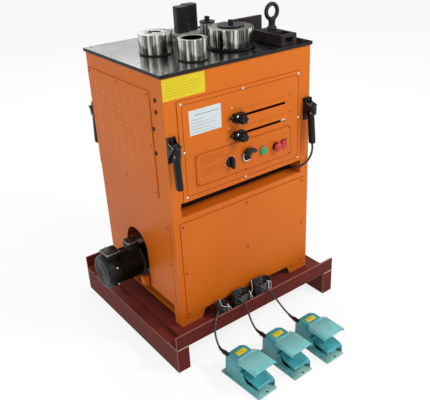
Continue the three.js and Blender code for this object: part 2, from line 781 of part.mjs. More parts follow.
function jaw([x0, x1], [y0, y1], chamferRight, bottom) {
  const c = jawChamfer;
  const points = chamferRight
    ? [[x0, y0], [x1 - c, y0], [x1, y0 + c], [x1, y1 - c], [x1 - c, y1], [x0, y1]]
    : [[x0 + c, y0], [x1, y0], [x1, y1], [x0 + c, y1], [x0, y1 - c], [x0, y0 + c]];
  return flatPlate(outline(points), [bottom, jawTop]);
}
function cutterFrame() {
  const bed = flatPlate(outline(rectangle(bedX, bedY), [rectangle(...ramSlot)]), [tableTop + seat, bedTop]);
  return join(bed, jaw(fixedJawX, fixedJawY, false, bedTop - bedThickness / 2));
}
add('cutter_frame', cutterFrame(), blackSteel);
const ram = block([ramLeft, ramLeft + ramWidth], [ramFront, ramFront + ramDepth],
  [tableBottom - ramTail, bedTop + jawHeight / 2]);
add('cutter_moving_jaw', join(jaw(movingJawX, movingJawY, true, bedTop + seat), ram), blackSteel);

// The cutter's drive case hangs under the table and takes the ram's tail
const caseWall = 8;
const caseX = [ramSlot[0][0] - caseWall, ramSlot[0][1] + caseWall];
const caseY = [ramSlot[1][0] - caseWall, ramSlot[1][1] + caseWall];
const caseDeep = 92;
const caseTop = tableBottom - seat;
function cutterDriveCase() {
  const shell = block(caseX, caseY, [caseTop - caseDeep, caseTop]);
  const cavity = block(ramSlot[0], ramSlot[1], [caseTop - ramTail - ramClearance, caseTop + overrun]);
  return cut(shell, cavity);
}
add('cutter_drive_case', cutterDriveCase(), castGrey);

// Bender: spindle and gear under the table, arm and rollers above it
const rollerRadius = 76;
const rollerHeight = 60;
const outerOffset = [-16, 111];
const outerX = bendX + outerOffset[0];
const outerY = bendY + outerOffset[1];
const outerRadius = 25;
const outerHeight = 60;
const armThickness = 7;
const armHubRadius = 80;
const armLugRadius = 27;
const armLift = 1;
const pinRadius = 14;
const outerPinRadius = 9;
const capThickness = 5;
const capRadius = 45;
const outerCapRadius = 27;
const boltHeadRadius = 9;
const boltHeadTall = 15;
const boltHeadSides = 6;
const armBottom = tableTop + armLift;
const armTop = armBottom + armThickness;
const gearTeeth = 52;
const pinionTeeth = 16;
const toothModule = 4;
const gearWidth = 20;
const bearingThickness = 16;
const bearingTop = tableBottom - seat;
const bearingBottom = bearingTop - bearingThickness;
const gearTop = bearingBottom - armLift;
const shaftRadius = 12;
const pinionAngle = THREE.MathUtils.degToRad(134);
const gearSpacing = (toothModule * (gearTeeth + pinionTeeth)) / 2;
const pinionX = bendX + gearSpacing * Math.cos(pinionAngle);
const pinionY = bendY + gearSpacing * Math.sin(pinionAngle);

function armOutline() {
  const dx = outerX - bendX;
  const dy = outerY - bendY;
  const reach = Math.hypot(dx, dy);
  const heading = Math.atan2(dy, dx);
  const spread = Math.acos((armHubRadius - armLugRadius) / reach);
  const points = [];
  const arc = (x, y, radius, from, to, steps) => {
    for (let i = 0; i <= steps; i += 1) {
      const angle = from + ((to - from) * i) / steps;
      points.push([x + radius * Math.cos(angle), y + radius * Math.sin(angle)]);
    }
  };
  arc(outerX, outerY, armLugRadius, heading - spread, heading + spread, smallSides);
  arc(bendX, bendY, armHubRadius, heading + spread, heading - spread + 2 * Math.PI, roundSides);
  return outline(points);
}

function bendingArm() {
  const plate = flatPlate(armOutline(), [armBottom, armTop]);
  const centrePin = upright(pinRadius, [armTop - armThickness / 2, armTop + rollerHeight + runningFit],
    bendX, bendY);
  const outerPin = upright(outerPinRadius, [armTop - armThickness / 2, armTop + outerHeight + runningFit],
    outerX, outerY);
  return join(plate, centrePin, outerPin);
}
add('bending_arm', bendingArm(), blackSteel);

function roller(radius, bore, height, chamfer) {
  return turned([[bore, 0], [radius - chamfer, 0], [radius, chamfer],
    [radius, height - chamfer], [radius - chamfer, height], [bore, height], [bore, 0]]);
}
const rollerChamfer = 2;
add('centre_roller', roller(rollerRadius, pinRadius + runningFit, rollerHeight - runningFit, rollerChamfer)
  .translate(bendX, bendY, armTop + runningFit), brightSteel);
add('bending_roller', roller(outerRadius, outerPinRadius + runningFit, outerHeight - runningFit,
  rollerChamfer).translate(outerX, outerY, armTop + runningFit), machinedSteel);

function capWithBolt(x, y, radius, rollerTall) {
  const z = armTop + rollerTall + 2 * runningFit;
  const cap = upright(radius, [z, z + capThickness], x, y, roundSides);
  const head = upright(boltHeadRadius, [z + capThickness / 2, z + capThickness + boltHeadTall],
    x, y, boltHeadSides);
  return join(cap, head);
}
add('centre_roller_cap', capWithBolt(bendX, bendY, capRadius, rollerHeight), blackSteel);
add('bending_roller_cap', capWithBolt(outerX, outerY, outerCapRadius, outerHeight), blackSteel);

function gearOutline(teeth, phase) {
  const pitch = (toothModule * teeth) / 2;
  const radiusShares = [-1.2, 0.9, 0.9, -1.2];
  const angleShares = [-0.36, -0.13, 0.13, 0.36];
  const points = [];
  for (let tooth = 0; tooth < teeth; tooth += 1) {
    angleShares.forEach((share, k) => {
      const angle = phase + (2 * Math.PI * (tooth + share)) / teeth;
      const radius = pitch + radiusShares[k] * toothModule;
      points.push([radius * Math.cos(angle), radius * Math.sin(angle)]);
    });
  }
  return outline(points);
}

// The gear has a tooth gap where the pinion has a tooth
const gearPhase = pinionAngle + Math.PI / gearTeeth;
const pinionPhase = pinionAngle + Math.PI;
function bendingGear() {
  const wheel = flatPlate(gearOutline(gearTeeth, gearPhase), [gearTop - gearWidth, gearTop]);
  const spindle = upright(spindleRadius, [gearTop - gearWidth - armLift, armBottom - seat], 0, 0, roundSides);
  return join(wheel, spindle).translate(bendX, bendY, 0);
}
add('bending_gear', bendingGear(), machinedSteel);

const bossRadius = 44;
const pinionBossRadius = 26;
const bossDrop = 0.5;
function spindleBearing() {
  const hub = upright(bossRadius, [bearingBottom, bearingTop], bendX, bendY, roundSides);
  const smallHub = upright(pinionBossRadius, [bearingBottom, bearingTop], pinionX, pinionY, smallSides);
  const bridge = block([0, gearSpacing], [-pinionBossRadius / 2, pinionBossRadius / 2],
    [bearingBottom + bossDrop, bearingTop]).rotateZ(pinionAngle).translate(bendX, bendY, 0);
  const spindleBore = upright(spindleRadius + runningFit, [bearingBottom - overrun, bearingTop + overrun],
    bendX, bendY, roundSides);
  const shaftBore = upright(shaftRadius + runningFit, [bearingBottom - overrun, bearingTop + overrun],
    pinionX, pinionY, roundSides);
  return cut(join(hub, smallHub, bridge), spindleBore, shaftBore);
}
add('spindle_bearing', spindleBearing(), castGrey);

// Gear motor: a motor through the side opening and a gearbox inside the cabinet
const motorY = 8;
const motorSides = 24;
const cowlRoundShare = 0.2;
const motorRadius = 60;
const motorRise = 178;
const motorLength = 150;
const motorGap = 12;
const cowlRadius = 63;
const cowlLength = 48;
const noseRadius = 50;
const noseLength = 28;
const boxLengthShare = 0.45;
const boxHalf = 30;
const boxTall = 17;
const smallBoxHalf = 24;
const smallBoxTall = 46;
const motorZ = lowerBottom + motorRise;
const motorEnd = -halfWidth - motorGap - motorLength;

function lyingX(profile, y, z, sides) {
  return turned(profile, sides).rotateY(Math.PI / 2).translate(0, y, z);
}

function gearMotor() {
  const x0 = motorEnd;
  const x1 = x0 + cowlLength;
  const x2 = -halfWidth - motorGap;
  const x3 = x2 + noseLength;
  const round = cowlRadius * cowlRoundShare;
  const body = lyingX([[0, x0], [cowlRadius - round, x0], [cowlRadius, x0 + round], [cowlRadius, x1],
    [motorRadius, x1], [motorRadius, x2], [noseRadius, x2], [noseRadius, x3], [0, x3]],
  motorY, motorZ, motorSides);
  const boxEnd = x0 + motorLength * boxLengthShare;
  const top = block([x0 + round, boxEnd], [motorY - boxHalf, motorY + boxHalf],
    [motorZ + motorRadius - boxTall, motorZ + motorRadius + boxTall]);
  const small = block([x2 - smallBoxHalf * 2, x2 - seat], [motorY - smallBoxHalf, motorY + smallBoxHalf],
    [motorZ + motorRadius - boxTall, motorZ + motorRadius + smallBoxTall]);
  return join(body, top, small);
}
add('gear_motor', gearMotor(), motorGreen);

const gearboxPastOutput = 14.5;
const gearboxHalf = 78;
const gearboxTall = 190;
const gearboxFoot = 20;
const neckRadius = 66;
const outputRadius = 40;
const outputTall = 30;
const gearboxStart = -halfWidth - motorGap + noseLength + seat;
const neckLength = 18;
const gearboxBottom = panBottom + sheet + seat;
const gearboxTop = motorZ + gearboxTall / 2;
const gearboxEnd = pinionX + gearboxPastOutput;
function gearboxHousing() {
  const x0 = gearboxStart + neckLength;
  const neck = alongX(neckRadius, [gearboxStart, x0 + neckLength], motorY, motorZ, roundSides);
  const body = block([x0, gearboxEnd], [motorY - gearboxHalf, motorY + gearboxHalf],
    [gearboxBottom, gearboxTop]);
  const feet = block([x0 + gearboxFoot, gearboxEnd - gearboxFoot],
    [motorY - gearboxHalf - gearboxFoot, motorY + gearboxHalf + gearboxFoot],
    [gearboxBottom, gearboxBottom + gearboxFoot]);
  const output = upright(outputRadius, [gearboxTop - outputTall, gearboxTop + outputTall], pinionX, pinionY);
  const bore = upright(shaftRadius + runningFit, [gearboxTop - outputTall, gearboxTop + outputTall + overrun],
    pinionX, pinionY, roundSides);
  return cut(join(neck, body, feet, output), bore);
}
add('gearbox_housing', gearboxHousing(), castGrey);

function drivePinion() {
  const pinion = flatPlate(gearOutline(pinionTeeth, pinionPhase), [gearTop - gearWidth, gearTop]);
  const shaft = upright(shaftRadius, [gearboxTop - outputTall + seat, bearingTop - seat]);
  return join(pinion, shaft).translate(pinionX, pinionY, 0);
}
add('drive_pinion', drivePinion(), machinedSteel);

// Two loose sleeve rollers on their table posts
const sleeveHeight = 64;
const sleeveXShares = [-0.54194, -0.40645];
const sleeveInset = [244.5, 91.5];
const sleeveRadius = [55, 48];
const sleeveBore = [21, 33];
const sleeves = ['left', 'front'].map((name, i) => ({
  name,
  x: halfTable * sleeveXShares[i],
  y: tableFront + sleeveInset[i],
  radius: sleeveRadius[i],
  bore: sleeveBore[i],
  nub: name === 'left',
}));
const ringThickness = 3;
const ringProud = 1.5;
const bossTall = 14;
const nubShare = 0.4;
const nubTall = 52;
function sleevePost({ x, y, radius, bore, nub }) {
  const z = tableTop + seat;
  const ring = upright(radius + ringProud, [z, z + ringThickness], x, y, roundSides);
  const boss = upright(bore - runningFit, [z + ringThickness / 2, z + ringThickness + bossTall],
    x, y, roundSides);
  if (!nub) return join(ring, boss);
  return join(ring, boss, upright(bore * nubShare, [z + ringThickness, z + nubTall], x, y));
}
for (const sleeve of sleeves) {
  const ring = roller(sleeve.radius, sleeve.bore, sleeveHeight, rollerChamfer);
  const z = tableTop + seat + ringThickness + runningFit;
  add(`sleeve_roller_${sleeve.name}`, ring.translate(sleeve.x, sleeve.y, z), brightSteel);
  add(`sleeve_post_${sleeve.name}`, sleevePost(sleeve), blackSteel);
}

// Fence bar: the upright plate the straight end of the bar leans on
const fenceInset = 37;
const fenceLength = 127;
const fenceReach = 89;
const fenceX = [halfTable - fenceInset - fenceLength, halfTable - fenceInset];
const fenceY = bendY + fenceReach;
const fenceThickness = 14;
const fenceHeight = 64;
const fenceFoot = 46;
const fenceFootThickness = 10;
const fenceProfile = [[fenceY, tableTop + seat], [fenceY + fenceFoot, tableTop + seat],
  [fenceY + fenceFoot, tableTop + seat + fenceFootThickness],
  [fenceY + fenceThickness, tableTop + seat + fenceFootThickness],
  [fenceY + fenceThickness, tableTop + seat + fenceHeight], [fenceY, tableTop + seat + fenceHeight]];
add('fence_bar', sidePlate(outline(fenceProfile), fenceX), blackSteel);

// Stop: a trough on the table, a block that slides in it and the eye bolt that clamps the block
const stopShare = 0.66774;
const troughWidth = 70;
const troughLength = 142;
const troughInset = 8.5;
const stopCentre = halfTable * stopShare;
const troughX = [stopCentre - troughWidth / 2, stopCentre + troughWidth / 2];
const troughY = [tableFront + troughInset, tableFront + troughInset + troughLength];
const troughHeight = 37;
const troughWall = 12;
const troughFloor = 8;
const troughWindow = [16, 18];
const blockLength = 78;
const blockStart = 38;
const blockProud = 3;
const blockClearance = 0.5;
const troughBottom = tableTop + seat;
const troughTop = troughBottom + troughHeight;
function stopHousing() {
  const shell = block(troughX, troughY, [troughBottom, troughTop]);
  const channel = block([troughX[0] + troughWall, troughX[1] - troughWall],
    [troughY[0] + troughWall, troughY[1] + overrun], [troughBottom + troughFloor, troughTop + overrun]);
  const window = block([stopCentre - troughWindow[0], stopCentre + troughWindow[0]],
    [troughY[0] - overrun, troughY[0] + troughWall + overrun],
    [troughBottom + troughFloor, troughBottom + troughFloor + troughWindow[1]]);
  return cut(shell, channel, window);
}
add('stop_housing', stopHousing(), blackSteel);

const blockFront = troughY[0] + troughWall + blockStart;
const blockHalf = troughWidth / 2 - troughWall - blockClearance;
const blockTop = troughTop + blockProud;
const eyeBoltRadius = 8;
const eyeBoltDeep = 20;
const eyeSetback = 37;
const eyeY = blockFront + eyeSetback;
function stopBlock() {
  const body = block([stopCentre - blockHalf, stopCentre + blockHalf], [blockFront, blockFront + blockLength],
    [troughBottom + troughFloor + blockClearance, blockTop]);
  const hole = upright(eyeBoltRadius + runningFit, [blockTop - eyeBoltDeep - overrun / 2, blockTop + overrun],
    stopCentre, eyeY);
  return cut(body, hole);
}
add('stop_block', stopBlock(), blackSteel);

const eyeMajor = 25;
const eyeMinor = 7;
const eyeRise = 63;
const collarRadius = 15;
const collarTall = 12;
const shankRadius = 10;
const eyeArcSteps = 20;
const eyeTubeSides = 8;
function eyeBolt() {
  const ring = new THREE.TorusGeometry(eyeMajor, eyeMinor, eyeTubeSides, eyeArcSteps)
    .rotateX(Math.PI / 2).translate(0, 0, eyeRise);
  const stem = turned([[0, -eyeBoltDeep], [eyeBoltRadius, -eyeBoltDeep], [eyeBoltRadius, seat],
    [collarRadius, seat], [collarRadius, collarTall], [shankRadius, collarTall + eyeMinor],
    [shankRadius, eyeRise - eyeMajor], [0, eyeRise - eyeMajor]], smallSides);
  return join(ring, stem).translate(stopCentre, eyeY, blockTop);
}
add('eye_bolt', eyeBolt(), blackSteel);

// The supply lead's held loop at the right front edge, from the side wall into the slot
const leadRadius = 4;
const leadSides = 8;
const leadSteps = 24;
const leadNutRadius = 11;
const leadNutLength = 16;
const leadNutInset = 17;
const leadNutRise = 190;
const leadNutFace = halfWidth + seat + leadNutLength;

// Places on the lead, counted from the upper cabinet's lower right front corner
const leadRoute = [[20, 17, 188], [23, 14, 160], [21, 5, 118], [14, -9, 86], [-6, -19, 62],
  [-30, -19, 42], [-52, -5, 28], [-66, 17, 22], [-74, 43, 20]];
const leadPoints = leadRoute.map(([x, y, z]) => [halfWidth + x, frontFace + y, upperBottom + z]);
function sideLead() {
  const tube = cordTube(leadPoints, leadRadius, leadSides, leadSteps);
  const nut = alongX(leadNutRadius, [halfWidth + seat, leadNutFace],
    frontFace + leadNutInset, upperBottom + leadNutRise, screwSides);
  const [endX, endY, endZ] = leadPoints.at(-1);
  const slotNut = alongY((leadNutRadius + leadRadius) / 2,
    [endY - leadRadius, frontFace + slotDepth - seat], endX, endZ, screwSides);
  return join(tube, nut, slotNut);
}
add('side_lead', sideLead(), cordRubber);

// Foot switches: a housing with a hood over the treadle, and the treadle on its pin
const switchWidth = 85;
const switchDepth = 192;
const switchBase = 5;
const bodyWidth = 74;
const bodyFront = 92;
const bodyBack = 187;
const bodyHeight = 103;
const bodySlope = 28;
const hoodWidth = 95;
const hoodFront = 8;
const hoodOverlap = 8;
const hoodTop = 112;
const hoodSheet = 3;
const hoodSkirt = 13;
const cheekThickness = 3;
const cheekFront = 10;
const cheekHeight = 35;
const cheekEarWidth = 26;
const hingeY = 84;
const hingeZ = 55;
const hingePinRadius = 3;
const hingeHubRadius = 6;
const treadleFront = 5;
const treadleFrontZ = 44;
const treadleBackZ = 61;
const treadleBack = 88;
const treadleThickness = 4.5;
const treadleLip = 16;
const cordNutRadius = 8;
const cordNutX = -27;
const cordNutZ = 82;
const cordNutReach = 5;
const cordNutSeat = 24;

function footSwitchHousing() {
  const half = switchWidth / 2;
  const bodyHalf = bodyWidth / 2;
  const hoodHalf = hoodWidth / 2;
  const hoodBack = bodyFront + hoodOverlap;
  const base = block([-half, half], [0, switchDepth], [0, switchBase]);
  const body = sidePlate(outline([[bodyFront, switchBase / 2], [bodyBack, switchBase / 2],
    [bodyBack, bodyHeight - bodySlope], [bodyBack - bodySlope, bodyHeight], [hoodBack, bodyHeight],
    [hoodBack, hoodTop], [bodyFront, hoodTop]]), [-bodyHalf, bodyHalf]);
  const lid = block([-hoodHalf, hoodHalf], [hoodFront, hoodBack], [hoodTop - hoodSheet, hoodTop]);
  const skirts = [-1, 1].map((side) => {
    const x0 = side < 0 ? -hoodHalf : hoodHalf - hoodSheet;
    return block([x0, x0 + hoodSheet], [hoodFront, hoodBack], [hoodTop - hoodSkirt, hoodTop]);
  });
  const brow = block([-hoodHalf, hoodHalf], [hoodFront, hoodFront + hoodSheet],
    [hoodTop - hoodSkirt / 2, hoodTop]);
  const earTop = hingeZ + hingeHubRadius * 2;
  const cheekShape = [[cheekFront, switchBase / 2], [bodyFront + cheekThickness, switchBase / 2],
    [bodyFront + cheekThickness, earTop], [bodyFront - cheekEarWidth / 2, earTop],
    [bodyFront - cheekEarWidth, cheekHeight], [cheekFront, cheekHeight]];
  const cheeks = [-1, 1].map((side) => {
    const x0 = side < 0 ? -half : half - cheekThickness;
    return sidePlate(outline(cheekShape), [x0, x0 + cheekThickness]);
  });
  const pin = alongX(hingePinRadius, [-half, half], hingeY, hingeZ, smallSides);
  const nut = alongY(cordNutRadius, [bodyBack - cordNutSeat, bodyBack + cordNutReach],
    cordNutX, cordNutZ, screwSides);
  return join(base, body, lid, ...skirts, brow, ...cheeks, pin, nut);
}

function footPedal() {
  const half = bodyWidth / 2 - cheekThickness / 2;
  const shape = [[treadleBack, treadleBackZ], [treadleFront + treadleThickness, treadleFrontZ],
    [treadleFront, treadleFrontZ - treadleThickness], [treadleFront, treadleFrontZ - treadleLip],
    [treadleFront + treadleThickness, treadleFrontZ - treadleLip],
    [treadleFront + treadleThickness, treadleFrontZ - treadleThickness],
    [treadleBack, treadleBackZ - treadleThickness]];
  const tread = sidePlate(outline(shape), [-half, half]);
  const hub = alongX(hingeHubRadius, [-half, half], hingeY, hingeZ);
  const bore = alongX(hingePinRadius + runningFit, [-half - overrun, half + overrun], hingeY, hingeZ);
  return cut(join(tread, hub), bore);
}

const standX = [-209, -57, 85];
const standReach = [277, 289, 305];
const standTurn = [3.8, 1.5, 0];
const footSwitches = leadNames.map((name, i) => ({
  name, x: standX[i], y: -skidFront - standReach[i], yaw: THREE.MathUtils.degToRad(standTurn[i]),
}));
for (const { name, x, y, yaw } of footSwitches) {
  const stand = new THREE.Group();
  stand.position.set(x, y, 0);
  stand.rotation.z = yaw;
  machine.add(stand);
  add(`foot_switch_housing_${name}`, footSwitchHousing(), tealPaint, stand);
  add(`foot_pedal_${name}`, footPedal(), tealPaint, stand);
}

// Each foot switch's lead: a tied hank on the deck, then a free drop over the cross member
const cordSides = 6;
const loopSteps = 20;
const loopPitch = 7.9;
const coilSetback = 38;
const coilY = frontFace - coilSetback;
const coilStart = deckTop + seat + cordRadius;
const cordDiameter = 2 * cordRadius;

// Places on one loop, counted from the right end of its rear run towards -X
function onLoop(share, halfRun) {
  const fold = Math.PI * foldRadius;
  const run = 2 * halfRun;
  let s = share * 2 * (fold + run);
  if (s < run) return [halfRun - s, foldRadius];
  s -= run;
  if (s < fold) {
    return [-halfRun - foldRadius * Math.sin(s / foldRadius), foldRadius * Math.cos(s / foldRadius)];
  }
  s -= fold;
  if (s < run) return [-halfRun + s, -foldRadius];
  s -= run;
  return [halfRun + foldRadius * Math.sin(s / foldRadius), -foldRadius * Math.cos(s / foldRadius)];
}

const bendSteps = 8;
const leadFallShare = 0.65;
function coilPoints({ x, halfRun, loops }) {
  const fold = Math.PI * foldRadius;
  const lap = 2 * (fold + 2 * halfRun);
  const leadY = coilY + foldRadius + leadBend;
  const points = [new THREE.Vector3(x + halfRun + leadBend, glandFace - seat, glandZ)];
  for (let i = 0; i < bendSteps; i += 1) {
    const angle = (Math.PI / 2) * (i / bendSteps);
    const fall = THREE.MathUtils.smoothstep(i / bendSteps, 0, leadFallShare);
    const z = glandZ + (coilStart - glandZ) * fall;
    points.push(new THREE.Vector3(x + halfRun + leadBend * Math.cos(angle),
      leadY - leadBend * Math.sin(angle), z));
  }
  const turns = loops - 1 + (2 * halfRun + fold / 2) / lap;
  const steps = Math.round(turns * loopSteps);
  for (let i = 0; i <= steps; i += 1) {
    const turn = (turns * i) / steps;
    const [u, v] = onLoop(turn % 1, halfRun);
    points.push(new THREE.Vector3(x + u, coilY + v, coilStart + turn * loopPitch));
  }
  const top = points.at(-1);
  points.push(new THREE.Vector3(top.x, top.y - cordDiameter, top.z));
  return points;
}

// The least free distance between stretches of one tube that lie more than half a fold apart
function leastGap(points) {
  const along = [0];
  for (let i = 1; i < points.length; i += 1) {
    along.push(along[i - 1] + points[i].distanceTo(points[i - 1]));
  }
  let least = Infinity;
  points.forEach((p, i) => {
    for (let k = i + 1; k < points.length; k += 1) {
      if (along[k] - along[i] > 2 * foldRadius) least = Math.min(least, p.distanceTo(points[k]));
    }
  });
  return least - cordDiameter;
}

const dropSides = 8;
const dropSteps = 14;
const dropRoutes = {
  left: [[-185, -303, 167.5], [-199, -314, 163.5], [-214, -325, 154.5], [-229, -338, 139.5],
    [-241, -354, 120], [-248, -373, 101], [-250, -389, 87]],
  middle: [[-99, -304, 175.5], [-91, -316, 169], [-85, -327, 157.5], [-84, -341, 139],
    [-88, -360, 115], [-91, -383, 94.5], [-90.5, -401, 84]],
  right: [[0, -304, 183.5], [11, -316, 177], [26, -328, 164.5], [39, -343, 144.5],
    [48, -362, 121], [54, -388, 98], [58, -413, 84]],
};

// Straight for one diameter at both ends, square to the coil's end and to the nut
function dropPoints(name, coilEnd, nut, yaw) {
  const stretch = [0, cordRadius, cordDiameter].map((reach) => seat + reach);
  const start = stretch.map((reach) => [coilEnd.x, coilEnd.y - reach, coilEnd.z]);
  const finish = stretch.map((reach) =>
    [nut.x - reach * Math.sin(yaw), nut.y + reach * Math.cos(yaw), nut.z]);
  return [...start, ...dropRoutes[name], ...finish.reverse()];
}

coils.forEach((coil, i) => {
  const points = coilPoints(coil);
  console.log(`cord_coil_${coil.name} least gap to itself ${leastGap(points).toFixed(2)} mm`);
  add(`cord_coil_${coil.name}`, tubeThrough(points, cordRadius, cordSides), cordRubber);
  const { x, y, yaw } = footSwitches[i];
  const nut = new THREE.Vector3(cordNutX, bodyBack + cordNutReach, cordNutZ);
  nut.applyAxisAngle(new THREE.Vector3(0, 0, 1), yaw).add(new THREE.Vector3(x, y, 0));
  const route = dropPoints(coil.name, points.at(-1), nut, yaw);
  add(`cord_drop_${coil.name}`, cordTube(route, cordRadius, dropSides, dropSteps), cordRubber);
});

// The machine stands with the middle of its whole outline over the origin
const frontmost = footSwitches.at(-1).y;
machine.position.set(-(motorEnd + skidWidth / 2) / 2, -(frontmost + skidBack) / 2, 0);
const part = new THREE.Group();
part.add(machine);

export default part;
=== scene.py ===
# %% [markdown]
# # A rebar bender cutter, dressed in Blender
# The machine bends and cuts steel bar for concrete work. Its solids come ready made, at their
# real size, and this lesson gives them paint, screws, cords, labels and wear. Each step has a
# few words on what the piece is, how it could be made, and why this way was chosen.

# %% The frame
import json
import math

import bmesh
import bpy
from mathutils import Matrix, Vector


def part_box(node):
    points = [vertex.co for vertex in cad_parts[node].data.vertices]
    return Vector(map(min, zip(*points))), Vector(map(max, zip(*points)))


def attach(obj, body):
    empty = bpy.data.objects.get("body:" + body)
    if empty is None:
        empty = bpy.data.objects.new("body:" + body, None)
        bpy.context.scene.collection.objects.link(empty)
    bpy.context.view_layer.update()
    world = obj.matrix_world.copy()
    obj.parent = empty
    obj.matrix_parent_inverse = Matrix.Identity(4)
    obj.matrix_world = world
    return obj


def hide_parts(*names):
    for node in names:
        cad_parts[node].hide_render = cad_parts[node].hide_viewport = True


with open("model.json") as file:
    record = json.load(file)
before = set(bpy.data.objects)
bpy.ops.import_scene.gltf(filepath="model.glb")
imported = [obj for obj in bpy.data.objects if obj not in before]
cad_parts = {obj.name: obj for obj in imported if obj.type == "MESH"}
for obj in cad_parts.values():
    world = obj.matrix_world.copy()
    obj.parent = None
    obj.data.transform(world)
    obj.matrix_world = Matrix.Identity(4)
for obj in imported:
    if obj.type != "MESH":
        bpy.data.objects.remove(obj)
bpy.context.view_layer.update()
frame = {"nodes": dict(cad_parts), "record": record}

# %% [markdown]
# ## Where things are
# The table is centred on the cabinet, so the middle of its box is the machine's own middle.
# Places are easiest to read in millimetres from there, as on a workshop drawing: X to the
# operator's right, Y away from the operator, Z up. One function turns them into metres.

# %% The machine's own middle
low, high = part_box("table_plate")
MIDDLE = Vector(((low.x + high.x) / 2, (low.y + high.y) / 2, 0))
MM = 0.001


def place(x, y, z):
    return MIDDLE + Vector((x, y, z)) * MM


def edges(node):
    """A node's lowest and highest corner, in millimetres from the machine's middle."""
    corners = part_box(node)
    return [tuple((corner - MIDDLE) / MM) for corner in corners]


SIDE_FACE, SHEET_FACE = edges("lower_cabinet")[0][:2]
TABLE_TOP = edges("table_plate")[1][2]
print("middle", tuple(round(v, 4) for v in MIDDLE), "table top", round(TABLE_TOP, 1))

# %% [markdown]
# ## The camera
# A product photo is taken from a little above the table, off to the left. The lens is set by
# the picture's width in sensor millimetres, and a small shift keeps the machine where the
# photo has it without turning the camera. The matrix is built from its three axes, because
# three angles in a row are easily mixed up.

# %% Camera
PICTURE_WIDTH, PICTURE_HEIGHT, SENSOR = 430, 400, 36.0
FOCAL_PIXELS, AIM_PIXEL = 607.3, (239.4, 193.4)
CAMERA_PLACE = place(-1193.8, -1739.0, 1510.1)
CAMERA_YAW, CAMERA_PITCH, CAMERA_ROLL = (math.radians(turn) for turn in (37.94, 26.68, -1.88))


def camera_axes(yaw, pitch, roll):
    forward = Vector((math.sin(yaw) * math.cos(pitch), math.cos(yaw) * math.cos(pitch),
                      -math.sin(pitch)))
    level = Vector((math.cos(yaw), -math.sin(yaw), 0))
    above = level.cross(forward)
    right = level * math.cos(roll) + above * math.sin(roll)
    up = above * math.cos(roll) - level * math.sin(roll)
    return right, up, -forward


lens = bpy.data.cameras.new("photo_camera")
lens.sensor_width = SENSOR
lens.lens = FOCAL_PIXELS / PICTURE_WIDTH * SENSOR
lens.shift_x = (PICTURE_WIDTH / 2 - AIM_PIXEL[0]) / PICTURE_WIDTH
lens.shift_y = (AIM_PIXEL[1] - PICTURE_HEIGHT / 2) / PICTURE_WIDTH
lens.clip_end = 100
camera = bpy.data.objects.new("photo_camera", lens)
turn = Matrix(camera_axes(CAMERA_YAW, CAMERA_PITCH, CAMERA_ROLL)).transposed().to_4x4()
camera.matrix_world = Matrix.Translation(CAMERA_PLACE) @ turn
bpy.context.scene.collection.objects.link(camera)
bpy.context.scene.camera = camera
print("lens", round(lens.lens, 2), "shift", round(lens.shift_x, 4), round(lens.shift_y, 4))

# %% [markdown]
# ## The foot-switch leads
# Each lead is one rubber cord: out of a gland behind the cabinet's front skirt, wound into a
# tied hank that stands on the deck, then down over the front cross member to its foot switch.
# A cord could be a simulated chain of links, but a hank holds its shape, so a rule draws it:
# two straight runs and two half circles, climbing one pitch each time round. The free drop
# passes through a few places, and a smooth line through them sags as rubber cord does.

# %% Route of a lead
SEAT = 0.3
CORD_RADIUS, FOLD_RADIUS, LEAD_BEND = 3.5, 21, 28
LOOP_PITCH, LOOP_STEPS, BEND_STEPS, FALL_SHARE = 7.9, 24, 8, 0.65
COIL_SETBACK, GLAND_SETBACK, GLAND_Z = 38, 20, 127.9
DECK_TOP = edges("skid_deck")[1][2]
COIL_Y = SHEET_FACE - COIL_SETBACK
COIL_START = DECK_TOP + SEAT + CORD_RADIUS


def on_loop(share, half_run):
    """A place on one loop, from the right end of its rear run, as millimetres across and back."""
    fold, run = math.pi * FOLD_RADIUS, 2 * half_run
    s = share * 2 * (fold + run)
    if s < run:
        return half_run - s, FOLD_RADIUS
    s -= run
    if s < fold:
        angle = s / FOLD_RADIUS
        return -half_run - FOLD_RADIUS * math.sin(angle), FOLD_RADIUS * math.cos(angle)
    s -= fold
    if s < run:
        return -half_run + s, -FOLD_RADIUS
    angle = (s - run) / FOLD_RADIUS
    return half_run + FOLD_RADIUS * math.sin(angle), -FOLD_RADIUS * math.cos(angle)


def smooth_step(share, end):
    t = min(max(share / end, 0), 1)
    return t * t * (3 - 2 * t)


def hank_route(x, half_run, loops):
    """From the gland, round the hank and out of its front, in millimetres."""
    lead_y = COIL_Y + FOLD_RADIUS + LEAD_BEND
    route = [(x + half_run + LEAD_BEND, SHEET_FACE + GLAND_SETBACK - SEAT, GLAND_Z)]
    for i in range(BEND_STEPS):
        angle = math.pi / 2 * i / BEND_STEPS
        fall = smooth_step(i / BEND_STEPS, FALL_SHARE)
        route.append((x + half_run + LEAD_BEND * math.cos(angle), lead_y - LEAD_BEND * math.sin(angle),
                      GLAND_Z + (COIL_START - GLAND_Z) * fall))
    fold = math.pi * FOLD_RADIUS
    turns = loops - 1 + (2 * half_run + fold / 2) / (2 * (fold + 2 * half_run))
    steps = round(turns * LOOP_STEPS)
    for turn in (turns * i / steps for i in range(steps + 1)):
        across, back = on_loop(turn % 1, half_run)
        route.append((x + across, COIL_Y + back, COIL_START + turn * LOOP_PITCH))
    return route


# %% [markdown]
# The drop's places are read in the same millimetres. The line through them is a Catmull-Rom
# curve with chord-root spacing: it passes through each place and never loops back on itself
# where two places lie close together.

